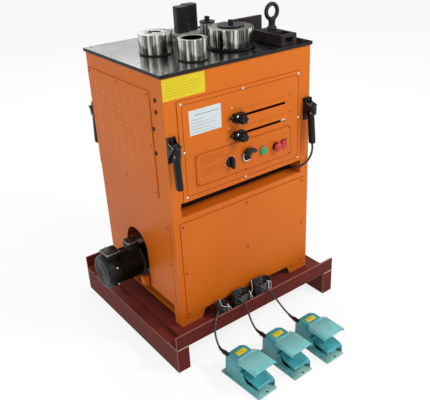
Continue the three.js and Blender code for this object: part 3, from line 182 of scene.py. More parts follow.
# %% A smooth line through places
def smooth_line(places, per_span):
    """Points on a centripetal Catmull-Rom curve through the places."""
    points = [Vector(p) for p in places]
    points = [2 * points[0] - points[1], *points, 2 * points[-1] - points[-2]]
    line = []
    for p0, p1, p2, p3 in zip(points, points[1:], points[2:], points[3:]):
        t1 = math.sqrt((p1 - p0).length)
        t2 = t1 + math.sqrt((p2 - p1).length)
        t3 = t2 + math.sqrt((p3 - p2).length)
        for k in range(per_span):
            t = t1 + (t2 - t1) * k / per_span
            a1 = p0.lerp(p1, t / t1)
            a2 = p1.lerp(p2, (t - t1) / (t2 - t1))
            a3 = p2.lerp(p3, (t - t2) / (t3 - t2))
            b1 = a1.lerp(a2, t / t2)
            b2 = a2.lerp(a3, (t - t1) / (t3 - t1))
            line.append(b1.lerp(b2, (t - t1) / (t2 - t1)))
    return line + [points[-2]]


STANDS = {"left": (-209, -597, 3.8), "middle": (-57, -609, 1.5), "right": (85, -625, 0)}
NUT_PLACE = Vector((-27, 192, 82))
DROPS = {
    "left": [(-185, -303, 167.5), (-199, -314, 163.5), (-214, -325, 154.5), (-229, -338, 139.5),
             (-241, -354, 120), (-248, -373, 101), (-250, -389, 87)],
    "middle": [(-99, -304, 175.5), (-91, -316, 169), (-85, -327, 157.5), (-84, -341, 139),
               (-88, -360, 115), (-91, -383, 94.5), (-90.5, -401, 84)],
    "right": [(0, -304, 183.5), (11, -316, 177), (26, -328, 164.5), (39, -343, 144.5),
              (48, -362, 121), (54, -388, 98), (58, -413, 84)],
}
HANKS = {"left": (-155, 4, 7), "middle": (-66, 15, 8), "right": (34, 17, 9)}


def lead_route(name):
    """The hank, then the drop to the nut of a foot switch, which is turned as it stands."""
    hank = [Vector(p) for p in hank_route(*HANKS[name])]
    leaving = [hank[-1] - Vector((0, SEAT + reach, 0)) for reach in (CORD_RADIUS, 2 * CORD_RADIUS)]
    x, y, turn = STANDS[name]
    stand = Matrix.Translation((x, y, 0)) @ Matrix.Rotation(math.radians(turn), 4, "Z")
    arriving = [stand @ (NUT_PLACE + Vector((0, SEAT + reach, 0)))
                for reach in (2 * CORD_RADIUS, CORD_RADIUS, 0)]
    return hank + smooth_line([*leaving, *DROPS[name], *arriving], 2)


def length_of(route):
    return sum((b - a).length for a, b in zip(route, route[1:])) * MM


routes = {name: lead_route(name) for name in HANKS}
for name, route in routes.items():
    print("lead", name, "points", len(route), "length", round(length_of(route), 3))

# %% [markdown]
# ## Paint as arithmetic
# A material is a small tree of nodes, and most of it is arithmetic: a mask times a colour, one
# minus a noise. Wiring each Math node by hand hides that sum among socket numbers. A class
# that wraps one socket and overloads the operators lets the sum be written as a sum, and each
# operator adds its own node. Everything else comes from one method that makes any node.

# %% One value in a shader tree
class Value:
    """A number, colour or vector on its way through a shader tree."""

    def __init__(self, tree, socket=None):
        self.tree = tree
        self.socket = socket

    def node(self, kind, settings=None, inputs=None, out=0):
        """Any node: its settings first, then the values or links of its sockets."""
        made = self.tree.nodes.new(kind)
        for name, setting in (settings or {}).items():
            setattr(made, name, setting)
        for key, value in (inputs or {}).items():
            if isinstance(value, Value):
                self.tree.links.new(value.socket, made.inputs[key])
            else:
                made.inputs[key].default_value = value
        return Value(self.tree, None if out is None else made.outputs[out])

    def sum(self, operation, first, second):
        return self.node("ShaderNodeMath", {"operation": operation}, {0: first, 1: second})

    def __add__(self, other):
        return self.sum("ADD", self, other)

    __radd__ = __add__

    def __sub__(self, other):
        return self.sum("SUBTRACT", self, other)

    def __rsub__(self, other):
        return self.sum("SUBTRACT", other, self)

    def __mul__(self, other):
        return self.sum("MULTIPLY", self, other)

    __rmul__ = __mul__

    def __truediv__(self, other):
        return self.sum("DIVIDE", self, other)

    def __pow__(self, other):
        return self.sum("POWER", self, other)

    def noise(self, scale, detail=2.0, roughness=0.5):
        """Cloudy values round a half, with this many clouds to the metre."""
        return self.node("ShaderNodeTexNoise", None,
                         {"Vector": self, "Scale": scale, "Detail": detail, "Roughness": roughness})

    def axis(self, name):
        return self.node("ShaderNodeSeparateXYZ", None, {0: self}, name)

    def stretch(self, x, y, z):
        """The same place measured with another ruler along each axis."""
        return self.node("ShaderNodeVectorMath", {"operation": "MULTIPLY"}, {0: self, 1: (x, y, z)})

    def since(self, corner):
        return self.node("ShaderNodeVectorMath", {"operation": "SUBTRACT"}, {0: self, 1: tuple(corner)})

    def remap(self, low, high, new_low, new_high):
        """Smoothly from one range to another, and no further."""
        return self.node("ShaderNodeMapRange", {"interpolation_type": "SMOOTHSTEP"},
                         {0: self, 1: low, 2: high, 3: new_low, 4: new_high})

    def between(self, first, second):
        """A colour that goes from the first to the second as this value goes from 0 to 1."""
        return self.node("ShaderNodeMix", {"data_type": "RGBA"}, {0: self, 6: first, 7: second}, 2)


# %% [markdown]
# Colours are read off a screen as three numbers up to 255, but light adds up on a straight
# scale, so each number is straightened first. The two ends of every material are the same: it
# starts from places on the object in metres, and it ends in one Principled shader, with a
# Bump node where the surface has a grain.

# %% Starting and closing a material
def colour(red, green, blue):
    shares = (part / 255 for part in (red, green, blue))
    return (*(s / 12.92 if s <= 0.04045 else ((s + 0.055) / 1.055) ** 2.4 for s in shares), 1)


def begin(name):
    material = bpy.data.materials.new(name)
    material.use_nodes = True
    material.node_tree.nodes.clear()
    return material, Value(material.node_tree).node("ShaderNodeTexCoord", out="Object")


def close(material, where, base, roughness, metallic=0.0, height=None, depth=0.0001, **constants):
    """The last nodes; depth is how far the grain's tops stand above its bottoms, in metres."""
    inputs = {"Base Color": base, "Roughness": roughness, "Metallic": metallic}
    inputs.update({key.replace("_", " "): value for key, value in constants.items()})
    if height is not None:
        inputs["Normal"] = where.node("ShaderNodeBump", None,
                                      {"Height": height, "Distance": depth, "Strength": 1.0}, "Normal")
    surface = where.node("ShaderNodeBsdfPrincipled", None, inputs)
    where.node("ShaderNodeOutputMaterial", None, {0: surface}, None)
    return material


# %% [markdown]
# ## Painted steel
# The cabinet is powder coated: dry paint is blown on and baked, which leaves a fine orange-peel
# grain and slow drifts of tone. The skid is brushed with red-oxide primer, so its strokes run
# along the steel and its top carries pale dust.

# %% Orange powder coat
def orange_paint():
    material, where = begin("orange_paint")
    drift = where.noise(2.2, 2.0).remap(0.35, 0.65, 0, 1)
    speck = where.noise(420, 3.0)
    base = (drift * 0.7 + speck * 0.3).between(colour(202, 98, 20), colour(212, 110, 27))
    peel = where.noise(520, 1.5)
    return close(material, where, base, 0.36 + drift * 0.06 + speck * 0.05, height=peel, depth=0.0002,
                 Specular_IOR_Level=0.18)


# %% Red-oxide primer
def red_oxide_paint():
    material, where = begin("red_oxide_paint")
    strokes = where.stretch(3, 40, 40).noise(2.5, 4.0)
    patches = where.noise(9, 4.0).remap(0.4, 0.7, 0, 1)
    base = strokes.between(colour(78, 20, 15), colour(108, 36, 28))
    dust = where.node("ShaderNodeNewGeometry", out="Normal").axis("Z").remap(0.6, 1, 0, 1)
    base = (dust * (0.2 + 0.4 * patches)).between(base, colour(132, 60, 50))
    return close(material, where, base, 0.5 + strokes * 0.2, height=strokes, depth=0.0006,
                 Specular_IOR_Level=0.15)


# %% [markdown]
# The table top is polished black steel, smooth enough to mirror the rollers. Bar is dragged over
# it every day, so fine straight scratches cross it. A noise that is stretched far along one
# axis gives lines, and two of them at different angles are enough.

# %% Table top
def table_black():
    material, where = begin("table_black")
    along = where.stretch(2, 260, 1).noise(3.0, 2.0).remap(0.62, 0.72, 0, 1)
    across = where.stretch(220, 3, 1).noise(3.0, 2.0).remap(0.64, 0.74, 0, 1)
    haze = where.noise(14, 4.0)
    base = haze.between(colour(5, 5, 7), colour(14, 14, 17))
    marks = along * 0.5 + across * 0.5
    base = (marks * 0.3).between(base, colour(60, 60, 64))
    return close(material, where, base, 0.1 + haze * 0.14 + marks * 0.1, height=1 - marks, depth=0.00006,
                 IOR=2.1)


# %% [markdown]
# ## Bright steel
# The rollers are turned on a lathe and polished. Lathe marks run round the axis, so both the
# marks on the wall, which change with height, and those on the end face, which change with the
# distance from the axis, need to know where the axis is. Bars of tone up the wall, which change
# with the angle round the axis, are painted reflections: the bright and dark bands of a room
# mirrored in polished steel. On the end face the same bars are painted highlight sectors among
# the lathe marks, and the bore is painted near black as painted shade.

# %% Turned and polished steel
def turned_steel(name, axis, bore=0.0, dark=(66, 65, 60), light=(222, 220, 212), roughness=0.12):
    material, where = begin(name)
    local = where.since(axis)
    x, y, z = local.axis("X"), local.axis("Y"), local.axis("Z")
    reach = (x * x + y * y) ** 0.5
    rings = where.node("ShaderNodeCombineXYZ", None, {0: reach * 1500, 1: z * 1500})
    marks = rings.noise(1.0, 2.0)
    heading = where.node("ShaderNodeCombineXYZ", None, {0: x / reach, 1: y / reach, 2: z * 0.6})
    # Painted reflection: bright and dark bands round the axis, as a room mirrored in the polished wall.
    reflection_bands = heading.noise(2.6, 2.0) * 0.7 + heading.noise(17, 2.0) * 0.3
    wall = reflection_bands.remap(0.44, 0.56, 0, 1).between(colour(*dark), colour(*light))
    # Painted shade: the bore and a thin ring at its edge go near black.
    wall = reach.remap(bore + 0.0006, bore + 0.0012, 1, 0).between(wall, colour(20, 20, 19))
    end_face = where.node("ShaderNodeNewGeometry", out="Normal").axis("Z").remap(0.6, 0.9, 0, 1)
    # On the end face the same bands are painted highlight sectors, mixed with the real lathe marks.
    pale = (0.55 * reflection_bands + 0.45 * marks).between(colour(104, 103, 100), colour(160, 159, 154))
    base = end_face.between(wall, pale)
    return close(material, where, base, roughness + marks * 0.1 + end_face * 0.22, metallic=1.0,
                 height=marks, depth=0.00001)


# %% [markdown]
# ## Clouds and grain
# Most other surfaces are a mix of soft clouds and a fine grain. The clouds move the tone between
# two colours, and a mix of both moves the roughness and the height. A recipe for each kind of
# surface holds the scales and the shares: blacked steel, bright steel, cast metal, enamel on
# castings, moulded plastic, and the printed foil of label plates, which cockles a little.

# %% Recipes for surfaces
RECIPES = {
    "black": {"clouds": (45, 5.0, 0.6), "grain": (700, 2.0), "rough": (0.16, 0), "height": (0.7, 0.3),
              "depth": 0.00015, "even": True, "Specular_IOR_Level": 0.22},
    "bright": {"clouds": (300, 3.0), "rough": (0.15, 0), "metallic": 1.0},
    "cast": {"clouds": (18, 3.0), "grain": (380, 5.0, 0.65), "tone": (0.5, 0.5), "rough": (0, 0.2),
             "height": (0, 1), "depth": 0.0004, "Specular_IOR_Level": 0.4},
    "enamel": {"clouds": (24, 3.0), "grain": (330, 3.0), "rough": (0, 0.12), "height": (0, 1),
               "depth": 0.00035, "even": True, "Coat_Weight": 0.15, "Coat_Roughness": 0.2},
    "plastic": {"clouds": (60, 2.0), "grain": (1400, 1.0), "rough": (0, 0.12), "height": (0, 1),
                "depth": 0.00012, "Specular_IOR_Level": 0.25},
    "foil": {"clouds": (22, 2.0), "rough": (0.1, 0), "height": (1, 0), "depth": 0.0004},
}


def coat(name, kind, dark, light, roughness, **more):
    """A surface of this kind, in tones from dark to light; shares are (clouds, grain)."""
    recipe = {"grain": (1, 0.0), "tone": (1, 0), "height": None, "even": False, **RECIPES[kind], **more}
    material, where = begin(name)
    layers = where.noise(*recipe.pop("clouds")), where.noise(*recipe.pop("grain"))
    tone, rough, height = (shares and layers[0] * shares[0] + layers[1] * shares[1] for shares in
                           (recipe.pop("tone"), recipe.pop("rough"), recipe.pop("height")))
    if recipe.pop("even"):
        tone = tone.remap(0.3, 0.7, 0, 1)
    return close(material, where, tone.between(colour(*dark), colour(*light)), roughness + rough,
                 height=height, **recipe)


def rubber(name="cord_rubber"):
    """Cord rubber; it takes up dust, which greys its upper side."""
    material, where = begin(name)
    facing_up = where.node("ShaderNodeNewGeometry", out="Normal").axis("Z")
    dust = facing_up.remap(0.2, 1, 0, 0.35) * where.noise(120, 3.0)
    base = dust.between(colour(5, 5, 6), colour(44, 43, 42))
    return close(material, where, base, 0.24 + dust * 0.5, height=where.noise(900, 2.0), depth=0.0001)


# %% The finishes, by name
COATS = {
    "black_steel": ("black", (10, 10, 12), (27, 27, 30), 0.34),
    "motor_paint": ("black", (5, 8, 7), (17, 23, 20), 0.3),
    "tool_black": ("black", (20, 16, 15), (44, 37, 35), 0.42),
    "zinc_steel": ("bright", (190, 190, 186), (236, 234, 226), 0.2),
    # Bright steel for the lid screws, and a painted highlight on the motor's lid edges.
    "worn_steel": ("bright", (120, 120, 116), (196, 194, 186), 0.3),
    "teal_paint": ("enamel", (44, 138, 146), (64, 160, 168), 0.34),
    "hood_teal": ("enamel", (108, 188, 192), (126, 202, 204), 0.34),
    "base_teal": ("enamel", (124, 176, 168), (150, 196, 188), 0.4),
    "black_plastic": ("plastic", (5, 5, 6), (12, 12, 13), 0.28),
    "green_plastic": ("plastic", (14, 150, 72), (30, 176, 92), 0.2),
    "red_plastic": ("plastic", (186, 30, 30), (206, 44, 42), 0.28),
    "stop_red": ("plastic", (186, 50, 50), (204, 68, 66), 0.3),
    # Dark red for the rocker frame, and painted shadow round the selector, start and stop and inside the
    # rocker frame.
    "dark_red_plastic": ("plastic", (70, 10, 8), (92, 18, 14), 0.35),
    "tie_plastic": ("plastic", (224, 224, 220), (240, 240, 236), 0.35),
    # Painted shade: the near-black back of the tool slot.
    "inside_black": ("plastic", (4, 3, 3), (10, 8, 7), 0.7),
    # Painted shade of the gaps between sheets.
    "seam_red": ("plastic", (104, 26, 10), (134, 38, 14), 0.5),
    "ink": ("plastic", (40, 20, 12), (56, 30, 18), 0.5),
    # Painted glints on the panel.
    "pale_ink": ("plastic", (236, 176, 116), (244, 190, 132), 0.5),
    "faint_ink": ("plastic", (128, 42, 14), (150, 54, 18), 0.5),
    "grey_ink": ("plastic", (110, 122, 128), (132, 142, 148), 0.5),
    "dull_yellow": ("plastic", (164, 150, 6), (180, 166, 10), 0.5),
    # Painted highlight on the vent hole lips.
    "worn_orange": ("plastic", (228, 140, 84), (246, 176, 126), 0.4),
    # Painted shade: orange screws darker than the sheet round them.
    "rust_orange": ("plastic", (132, 46, 12), (158, 62, 18), 0.45),
    # Painted highlight along the skid's edges.
    "worn_maroon": ("plastic", (140, 88, 78), (186, 140, 128), 0.5),
    "card_black": ("plastic", (3, 3, 3), (6, 6, 6), 0.9),
    "yellow_foil": ("foil", (212, 188, 0), (222, 200, 4), 0.3),
    "pale_foil": ("foil", (196, 206, 206), (212, 220, 220), 0.3),
}
CASTINGS = {"cast_iron": ((70, 72, 73), (104, 106, 107), 0.3),
            "machined_steel": ((128, 128, 126), (178, 178, 174), 1.0),
            "bare_weld": ((150, 138, 120), (214, 202, 182), 0.5)}
FINISH = {name: coat(name, *row) for name, row in COATS.items()}
for name, (dark, light, metallic) in CASTINGS.items():
    FINISH[name] = coat(name, "cast", dark, light, 0.55, metallic=metallic)
FINISH.update(orange_paint=orange_paint(), red_oxide_paint=red_oxide_paint(), table_black=table_black(),
              cord_rubber=rubber(), polished_steel=turned_steel("polished_steel", place(60, -113, TABLE_TOP)))
print("finishes", len(FINISH))

# %% [markdown]
# ## Meshes from outlines
# Most steel parts are one of two things: a flat outline with a thickness, or a profile turned
# about an axis. Both are a skin over rows of places, so one function makes the faces of all of
# them. Another rounds the sharp edges with a Bevel modifier, whose hardened normals keep the
# flat faces flat.

# %% Outline and profile to mesh
def link(name, data):
    made = bpy.data.objects.new(name, data)
    bpy.context.scene.collection.objects.link(made)
    return made


def mesh_piece(name, points, faces):
    """A mesh from points in millimetres; points in one spot are welded, faces turned outwards."""
    mesh = bpy.data.meshes.new(name)
    mesh.from_pydata([place(*p) for p in points], [], faces)
    work = bmesh.new()
    work.from_mesh(mesh)
    bmesh.ops.remove_doubles(work, verts=work.verts, dist=0.000001)
    bmesh.ops.recalc_face_normals(work, faces=work.faces)
    work.to_mesh(mesh)
    work.free()
    return link(name, mesh)


def skin(name, rows, caps=True, around=False):
    """Faces between rows of as many places; around also joins the last row to the first."""
    count, last = len(rows[0]), len(rows) - 1
    steps = [(i, i + 1) for i in range(last)] + [(last, 0)] * around
    faces = [(i * count + k, i * count + n, j * count + n, j * count + k)
             for i, j in steps for k, n in zip(range(count), (*range(1, count), 0))]
    if caps:
        faces += [tuple(range(count)), tuple(range(last * count, (last + 1) * count))]
    return mesh_piece(name, [p for row in rows for p in row], faces)


ACROSS = {"X": lambda u, v, w: (w, u, v), "Y": lambda u, v, w: (u, w, v), "Z": lambda u, v, w: (u, v, w)}
TURNED = {"X": lambda r, s, h: (h, r, s), "-X": lambda r, s, h: (-h, s, r),
          "Y": lambda r, s, h: (s, h, r), "-Y": lambda r, s, h: (r, -h, s),
          "Z": lambda r, s, h: (r, s, h)}


def prism(name, outline, upright_to, low, high):
    """The outline, drawn in the two axes other than upright_to, given a thickness along it."""
    return skin(name, [[ACROSS[upright_to](u, v, w) for u, v in outline] for w in (low, high)])


def outline_ring(name, outer, inner, upright_to, low, high):
    """The strip between two outlines of as many places, given a thickness."""
    corners = ((low, outer), (low, inner), (high, inner), (high, outer))
    return skin(name, [[ACROSS[upright_to](u, v, w) for u, v in loop] for w, loop in corners], False, True)


def circle(radius, sides):
    """Places round the start of a plane."""
    turns = (2 * math.pi * k / sides for k in range(sides))
    return [(radius * math.cos(turn), radius * math.sin(turn)) for turn in turns]


def turned_piece(name, profile, centre, axis="Z", sides=48):
    """A profile of (radius, height) pairs turned about an axis through the centre."""
    rows = [[tuple(a + b for a, b in zip(centre, TURNED[axis](r, s, height)))
             for r, s in circle(radius, sides)] for radius, height in profile]
    return skin(name, rows, caps=False)


def arc(centre, radius, start, end, steps):
    """Places round a centre, from one angle to another, in degrees."""
    angles = [math.radians(start + (end - start) * i / steps) for i in range(steps + 1)]
    return [(centre[0] + radius * math.cos(a), centre[1] + radius * math.sin(a)) for a in angles]


def rounded(u0, u1, v0, v1, radius, steps=5):
    """A rectangle with round corners."""
    return [*arc((u1 - radius, v0 + radius), radius, -90, 0, steps),
            *arc((u1 - radius, v1 - radius), radius, 0, 90, steps),
            *arc((u0 + radius, v1 - radius), radius, 90, 180, steps),
            *arc((u0 + radius, v0 + radius), radius, 180, 270, steps)]


# %% Edges
def shade(piece, angle=35):
    piece.data.polygons.foreach_set("use_smooth", [True] * len(piece.data.polygons))
    piece.data.set_sharp_from_angle(angle=math.radians(angle))
    return piece


def bevelled(piece, width, segments=2, angle=35):
    bevel = piece.modifiers.new("round", "BEVEL")
    bevel.width, bevel.segments = width * MM, segments
    bevel.limit_method, bevel.angle_limit = "ANGLE", math.radians(angle)
    return bevel


def soften(piece, width, segments=2, angle=35):
    """Rounded edges, shaded so that the flat faces stay flat."""
    bevelled(shade(piece, angle), width, segments, angle).harden_normals = True
    return piece


# %% Joining and cutting
def fixed(piece, name=None):
    """The piece with its modifiers worked out, so that it can be joined to others."""
    bpy.context.view_layer.update()
    done = piece.evaluated_get(bpy.context.evaluated_depsgraph_get())
    mesh = bpy.data.meshes.new_from_object(done)
    mesh.name = name = name or piece.name
    bpy.data.objects.remove(piece)
    return link(name, mesh)


def cut_by(piece, *tools):
    """The piece less the tools, which are then thrown away."""
    for tool in tools:
        cut = piece.modifiers.new("cut", "BOOLEAN")
        cut.operation, cut.solver, cut.object = "DIFFERENCE", "EXACT", tool
    piece = fixed(piece)
    for tool in tools:
        bpy.data.objects.remove(tool)
    return piece


def joined(name, *parts):
    """One piece from several closed shapes, each keeping its own finish."""
    work = bmesh.new()
    finishes = []
    for part in parts:
        done = fixed(part)
        before = len(work.faces)
        work.from_mesh(done.data)
        work.faces.ensure_lookup_table()
        start = len(finishes)
        finishes.extend(done.data.materials)
        for face in work.faces[before:]:
            face.material_index += start
        bpy.data.objects.remove(done)
    mesh = bpy.data.meshes.new(name)
    work.to_mesh(mesh)
    work.free()
    for finish in finishes:
        mesh.materials.append(finish)
    print(name, "parts", len(parts), "faces", len(mesh.polygons))
    return link(name, mesh)


def paint(piece, finish):
    piece.data.materials.clear()
    piece.data.materials.append(FINISH[finish])
    return piece


# %% [markdown]
# Every piece needs a finish, and every visible piece rides on a body, so that it follows its
# joint. A piece that takes over a solid of the CAD also says which one, and that solid is hidden.

# %% Painted pieces and bodies
def slab(name, finish, outline, upright_to, low, high, width=0, segments=2, angle=35):
    """A painted prism, its edges softened where a width is given."""
    piece = paint(prism(name, outline, upright_to, low, high), finish)
    return soften(piece, width, segments, angle) if width else piece


def lathe(name, finish, profile, centre, axis="Z", sides=48):
    return paint(turned_piece(name, profile, centre, axis, sides), finish)


def dress(piece, body="machine", finish=None, replaces=()):
    """Paint, body and the nodes it stands for, in one line per piece."""
    if finish:
        paint(piece, finish)
    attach(piece, body)
    if replaces:
        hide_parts(*replaces)
    return piece


RECORD = frame["record"]
SLOT_OF = {part["node"]: part["material_slot"] for part in RECORD["subparts"]}
BODY_OF = {node: body for body, members in RECORD["behaviour"]["bodies"].items() for node in members}


def stand_in(piece, node, finish=None):
    """Dresses a piece that takes over a node, with that node's body."""
    return dress(piece, BODY_OF.get(node, "machine"), finish, [node])


def copy_of(node):
    """A node's solid as a mesh of our own: its loose triangles welded and its flats cleared."""
    work = bmesh.new()
    work.from_mesh(frame["nodes"][node].data)
    bmesh.ops.remove_doubles(work, verts=work.verts, dist=0.00001)
    bmesh.ops.dissolve_limit(work, angle_limit=math.radians(0.5), verts=work.verts, edges=work.edges)
    mesh = bpy.data.meshes.new(node)
    work.to_mesh(mesh)
    work.free()
    return link(f"{node}_finished", mesh)


# %% [markdown]
# ## Repeats with Geometry Nodes
# Screws, holes, fins and ticks repeat by a rule, so a node tree makes them: change one input
# and all of them follow. The same class that wraps shader sockets wraps these, because both
# kinds of tree are nodes with sockets. A tree's inputs are set by their identifiers before the
# tree is first worked out, and the result is kept as a plain mesh.

# %% Building and using a tree
SOCKETS = {"geometry": "NodeSocketGeometry", "number": "NodeSocketFloat", "count": "NodeSocketInt",
           "vector": "NodeSocketVector", "shape": "NodeSocketObject", "finish": "NodeSocketMaterial"}


def new_tree(name, **inputs):
    """A tree with named inputs; returns it and a Value for each input."""
    tree = bpy.data.node_groups.new(name, "GeometryNodeTree")
    tree.interface.new_socket("Result", in_out="OUTPUT", socket_type=SOCKETS["geometry"])
    for label, kind in inputs.items():
        tree.interface.new_socket(label, in_out="INPUT", socket_type=SOCKETS[kind])
    given = tree.nodes.new("NodeGroupInput")
    return tree, {socket.name: Value(tree, socket) for socket in given.outputs if socket.name}


def end_tree(geometry, finish):
    real = geometry.node("GeometryNodeRealizeInstances", None, {0: geometry})
    painted = real.node("GeometryNodeSetMaterial", None, {"Geometry": real, "Material": finish})
    painted.node("NodeGroupOutput", None, {0: painted}, None)


def grow(name, tree, seed=None, **values):
    """Runs the tree on the seed mesh with these inputs and keeps the result as a plain mesh."""
    source = link(f"{name}_seed", seed or bpy.data.meshes.new(f"{name}_seed"))
    modifier = source.modifiers.new("tree", "NODES")
    modifier.node_group = tree
    for item in tree.interface.items_tree:
        if item.in_out == "INPUT" and item.name in values:
            modifier[item.identifier] = values[item.name]
    made = fixed(source, name)
    print(name, "faces", len(made.data.polygons))
    return made


# %% [markdown]
# The first tree puts one shape on many places. Each place is a vertex that knows which way its
# shape faces, how far it is turned about that direction and how large it is. Panel screws,
# plugs, bolts, fins, louvre hoods and ticks all use it.

# %% A tree that sets one shape on many places
def spread_tree():
    tree, given = new_tree("spread", Places="geometry", Shape="shape", Size="number", Finish="finish")
    start = Value(tree)

    def stored(name, kind):
        return start.node("GeometryNodeInputNamedAttribute", {"data_type": kind}, {"Name": name})

    facing = start.node("FunctionNodeAlignRotationToVector", {"axis": "Z"},
                        {"Vector": stored("facing", "FLOAT_VECTOR")})
    spin = start.node("FunctionNodeAxisAngleToRotation", None,
                      {"Axis": (0, 0, 1), "Angle": stored("spin", "FLOAT")})
    turned = start.node("FunctionNodeRotateRotation", {"rotation_space": "LOCAL"},
                        {"Rotation": facing, "Rotate By": spin})
    shape = start.node("GeometryNodeObjectInfo", None, {"Object": given["Shape"]}, "Geometry")
    size = start.node("ShaderNodeVectorMath", {"operation": "SCALE"},
                      {0: stored("size", "FLOAT_VECTOR"), "Scale": given["Size"]})
    points = start.node("GeometryNodeMeshToPoints", None, {0: given["Places"]})
    placed = start.node("GeometryNodeInstanceOnPoints", None,
                        {"Points": points, "Instance": shape, "Rotation": turned, "Scale": size})
    end_tree(placed, given["Finish"])
    return tree


SPREAD = spread_tree()


def spread(name, shape, places, finish, size=1.0):
    """Copies of a shape at places: (point, facing, spin in degrees, size)."""
    seed = bpy.data.meshes.new(f"{name}_places")
    seed.from_pydata([place(*spot[0]) for spot in places], [], [])
    sizes = [grown if isinstance(grown, tuple) else (grown,) * 3 for *_, grown in places]
    columns = (("facing", "FLOAT_VECTOR", "vector", [v for spot in places for v in spot[1]]),
               ("spin", "FLOAT", "value", [math.radians(spot[2]) for spot in places]),
               ("size", "FLOAT_VECTOR", "vector", [v for grown in sizes for v in grown]))
    for label, kind, _, _ in columns:
        seed.attributes.new(label, kind, "POINT")
    for label, _, field, values in columns:
        seed.attributes[label].data.foreach_set(field, values)
    return shade(grow(name, SPREAD, seed, Shape=shape, Size=size, Finish=FINISH[finish]))


# %% [markdown]
# A shape for the tree is drawn at the middle of the world and never shown itself. A panel
# screw has a low dome with a cross cut in it, and it is worth a few dozen faces.

# %% Shapes for the tree
def shape_of(piece):
    """Moves a drawn piece to the world's own middle and hides it: only its copies are seen."""
    piece.data.transform(Matrix.Translation(-MIDDLE))
    piece.hide_render = piece.hide_viewport = True
    return piece


def dome_screw():
    """A pan-head screw of 10 mm with a cross recess, its seat at height 0."""
    head = turned_piece("screw_head", [(0, -1), (5, -1), (5, 0.7), (4.6, 1.7), (3.7, 2.5), (2.4, 3.0),
                                       (0, 3.2)], (0, 0, 0), sides=20)
    arms = [prism("cross", [(-a, -b), (a, -b), (a, b), (-a, b)], "Z", 1.6, 5)
            for a, b in ((2.6, 0.5), (0.5, 2.6))]
    return shape_of(cut_by(head, *arms))


def hex_bolt():
    """A hexagon head 17 mm across with its washer, its seat at height 0."""
    washer = turned_piece("washer", [(0, -1), (11, -1), (11, 1.4), (10.6, 1.8), (0, 1.8)], (0, 0, 0),
                          sides=28)
    crown = turned_piece("crown", [(0, 1), (9.6, 1), (9.6, 7.4), (8.2, 8.4), (0, 8.4)], (0, 0, 0), sides=6)
    return shape_of(joined("hex_bolt", washer, crown))


SCREW, BOLT = dome_screw(), hex_bolt()
print("screw faces", len(SCREW.data.polygons), "bolt faces", len(BOLT.data.polygons))

# %% [markdown]
# ## What is on the leads
# Where a cord leaves a nut, a ribbed rubber boot keeps it from kinking. It tapers from the nut
# down to the cord and follows the cord's first stretch. A mesh tube whose radius steps in and
# out draws both the taper and the ribs.

# %% Strain reliefs
def tube(name, route, radii, sides=16):
    """A closed tube; radii is one radius, or one for each place of the route."""
    route = [Vector(p) for p in route]
    radii = radii if isinstance(radii, list) else [radii] * len(route)
    side = Vector((0, 0, 1)).cross(route[1] - route[0])
    if side.length < 0.01:
        side = Vector((1, 0, 0))
    rings = []
    for i, point in enumerate(route):
        along = (route[min(i + 1, len(route) - 1)] - route[max(i - 1, 0)]).normalized()
        side = (side - along * side.dot(along)).normalized()
        up = along.cross(side)
        rings.append([point + side * u + up * v for u, v in circle(radii[i], sides)])
    return skin(name, rings)


def first_stretch(route, reach, steps):
    """Evenly spaced points along the first part of a route."""
    found, gone, wanted = [route[0]], 0.0, reach / steps
    for a, b in zip(route, route[1:]):
        span = (b - a).length
        while gone + span >= wanted * len(found) and len(found) <= steps:
            found.append(a.lerp(b, (wanted * len(found) - gone) / span))
        gone += span
        if len(found) > steps:
            break
    return found


BOOT_STEPS = BOOT_LENGTH = 26
CORD_SIDES = 16


def boot(name, route):
    path = first_stretch(route, BOOT_LENGTH, BOOT_STEPS)
    radii = [6.3 - 2.1 * i / BOOT_STEPS - (0.7 if i % 4 in (2, 3) and i > 3 else 0)
             for i in range(len(path))]
    return dress(shade(tube(name, path, radii)), "machine", "cord_rubber")


boots = {name: (boot(f"gland_boot_{name}", route), boot(f"switch_boot_{name}", route[::-1]))
         for name, route in routes.items()}
for name, route in routes.items():
    lead = shade(tube(f"lead_{name}", route, CORD_RADIUS, CORD_SIDES), 50)
    dress(lead, "machine", "cord_rubber", [f"cord_coil_{name}", f"cord_drop_{name}"])
    length_of(route)

# %% [markdown]
# ## Ties on the hanks
# A white twist tie holds each hank: it goes round the stack of runs, is twisted on itself and
# leaves two springy tails. Its loop is a rounded rectangle that stands round the stack, and
# the tails are thin tubes along a few places.

# %% Twist ties
TIE_RADIUS, TIE_SIDES, TIE_GAP = 1.0, 8, 0.3
KNOT = [(0, -2.4), (1.9, -1.4), (2.4, 0), (1.9, 1.4), (0, 2.4)]
TAILS = {"left": (12, [(-18, -4, 10), (-34, -6, 22), (-40, -2, 52)], [(6, -4, -6), (10, -6, -20)]),
         "middle": (26, [(3, -5, 14), (4, -4, 34), (2, -2, 58)], [(2, -5, -10), (5, -7, -24)]),
         "right": (14, [(4, -6, 8), (8, -5, -18), (3, -9, -38)], [(-3, -6, -16), (-6, -9, -40)])}


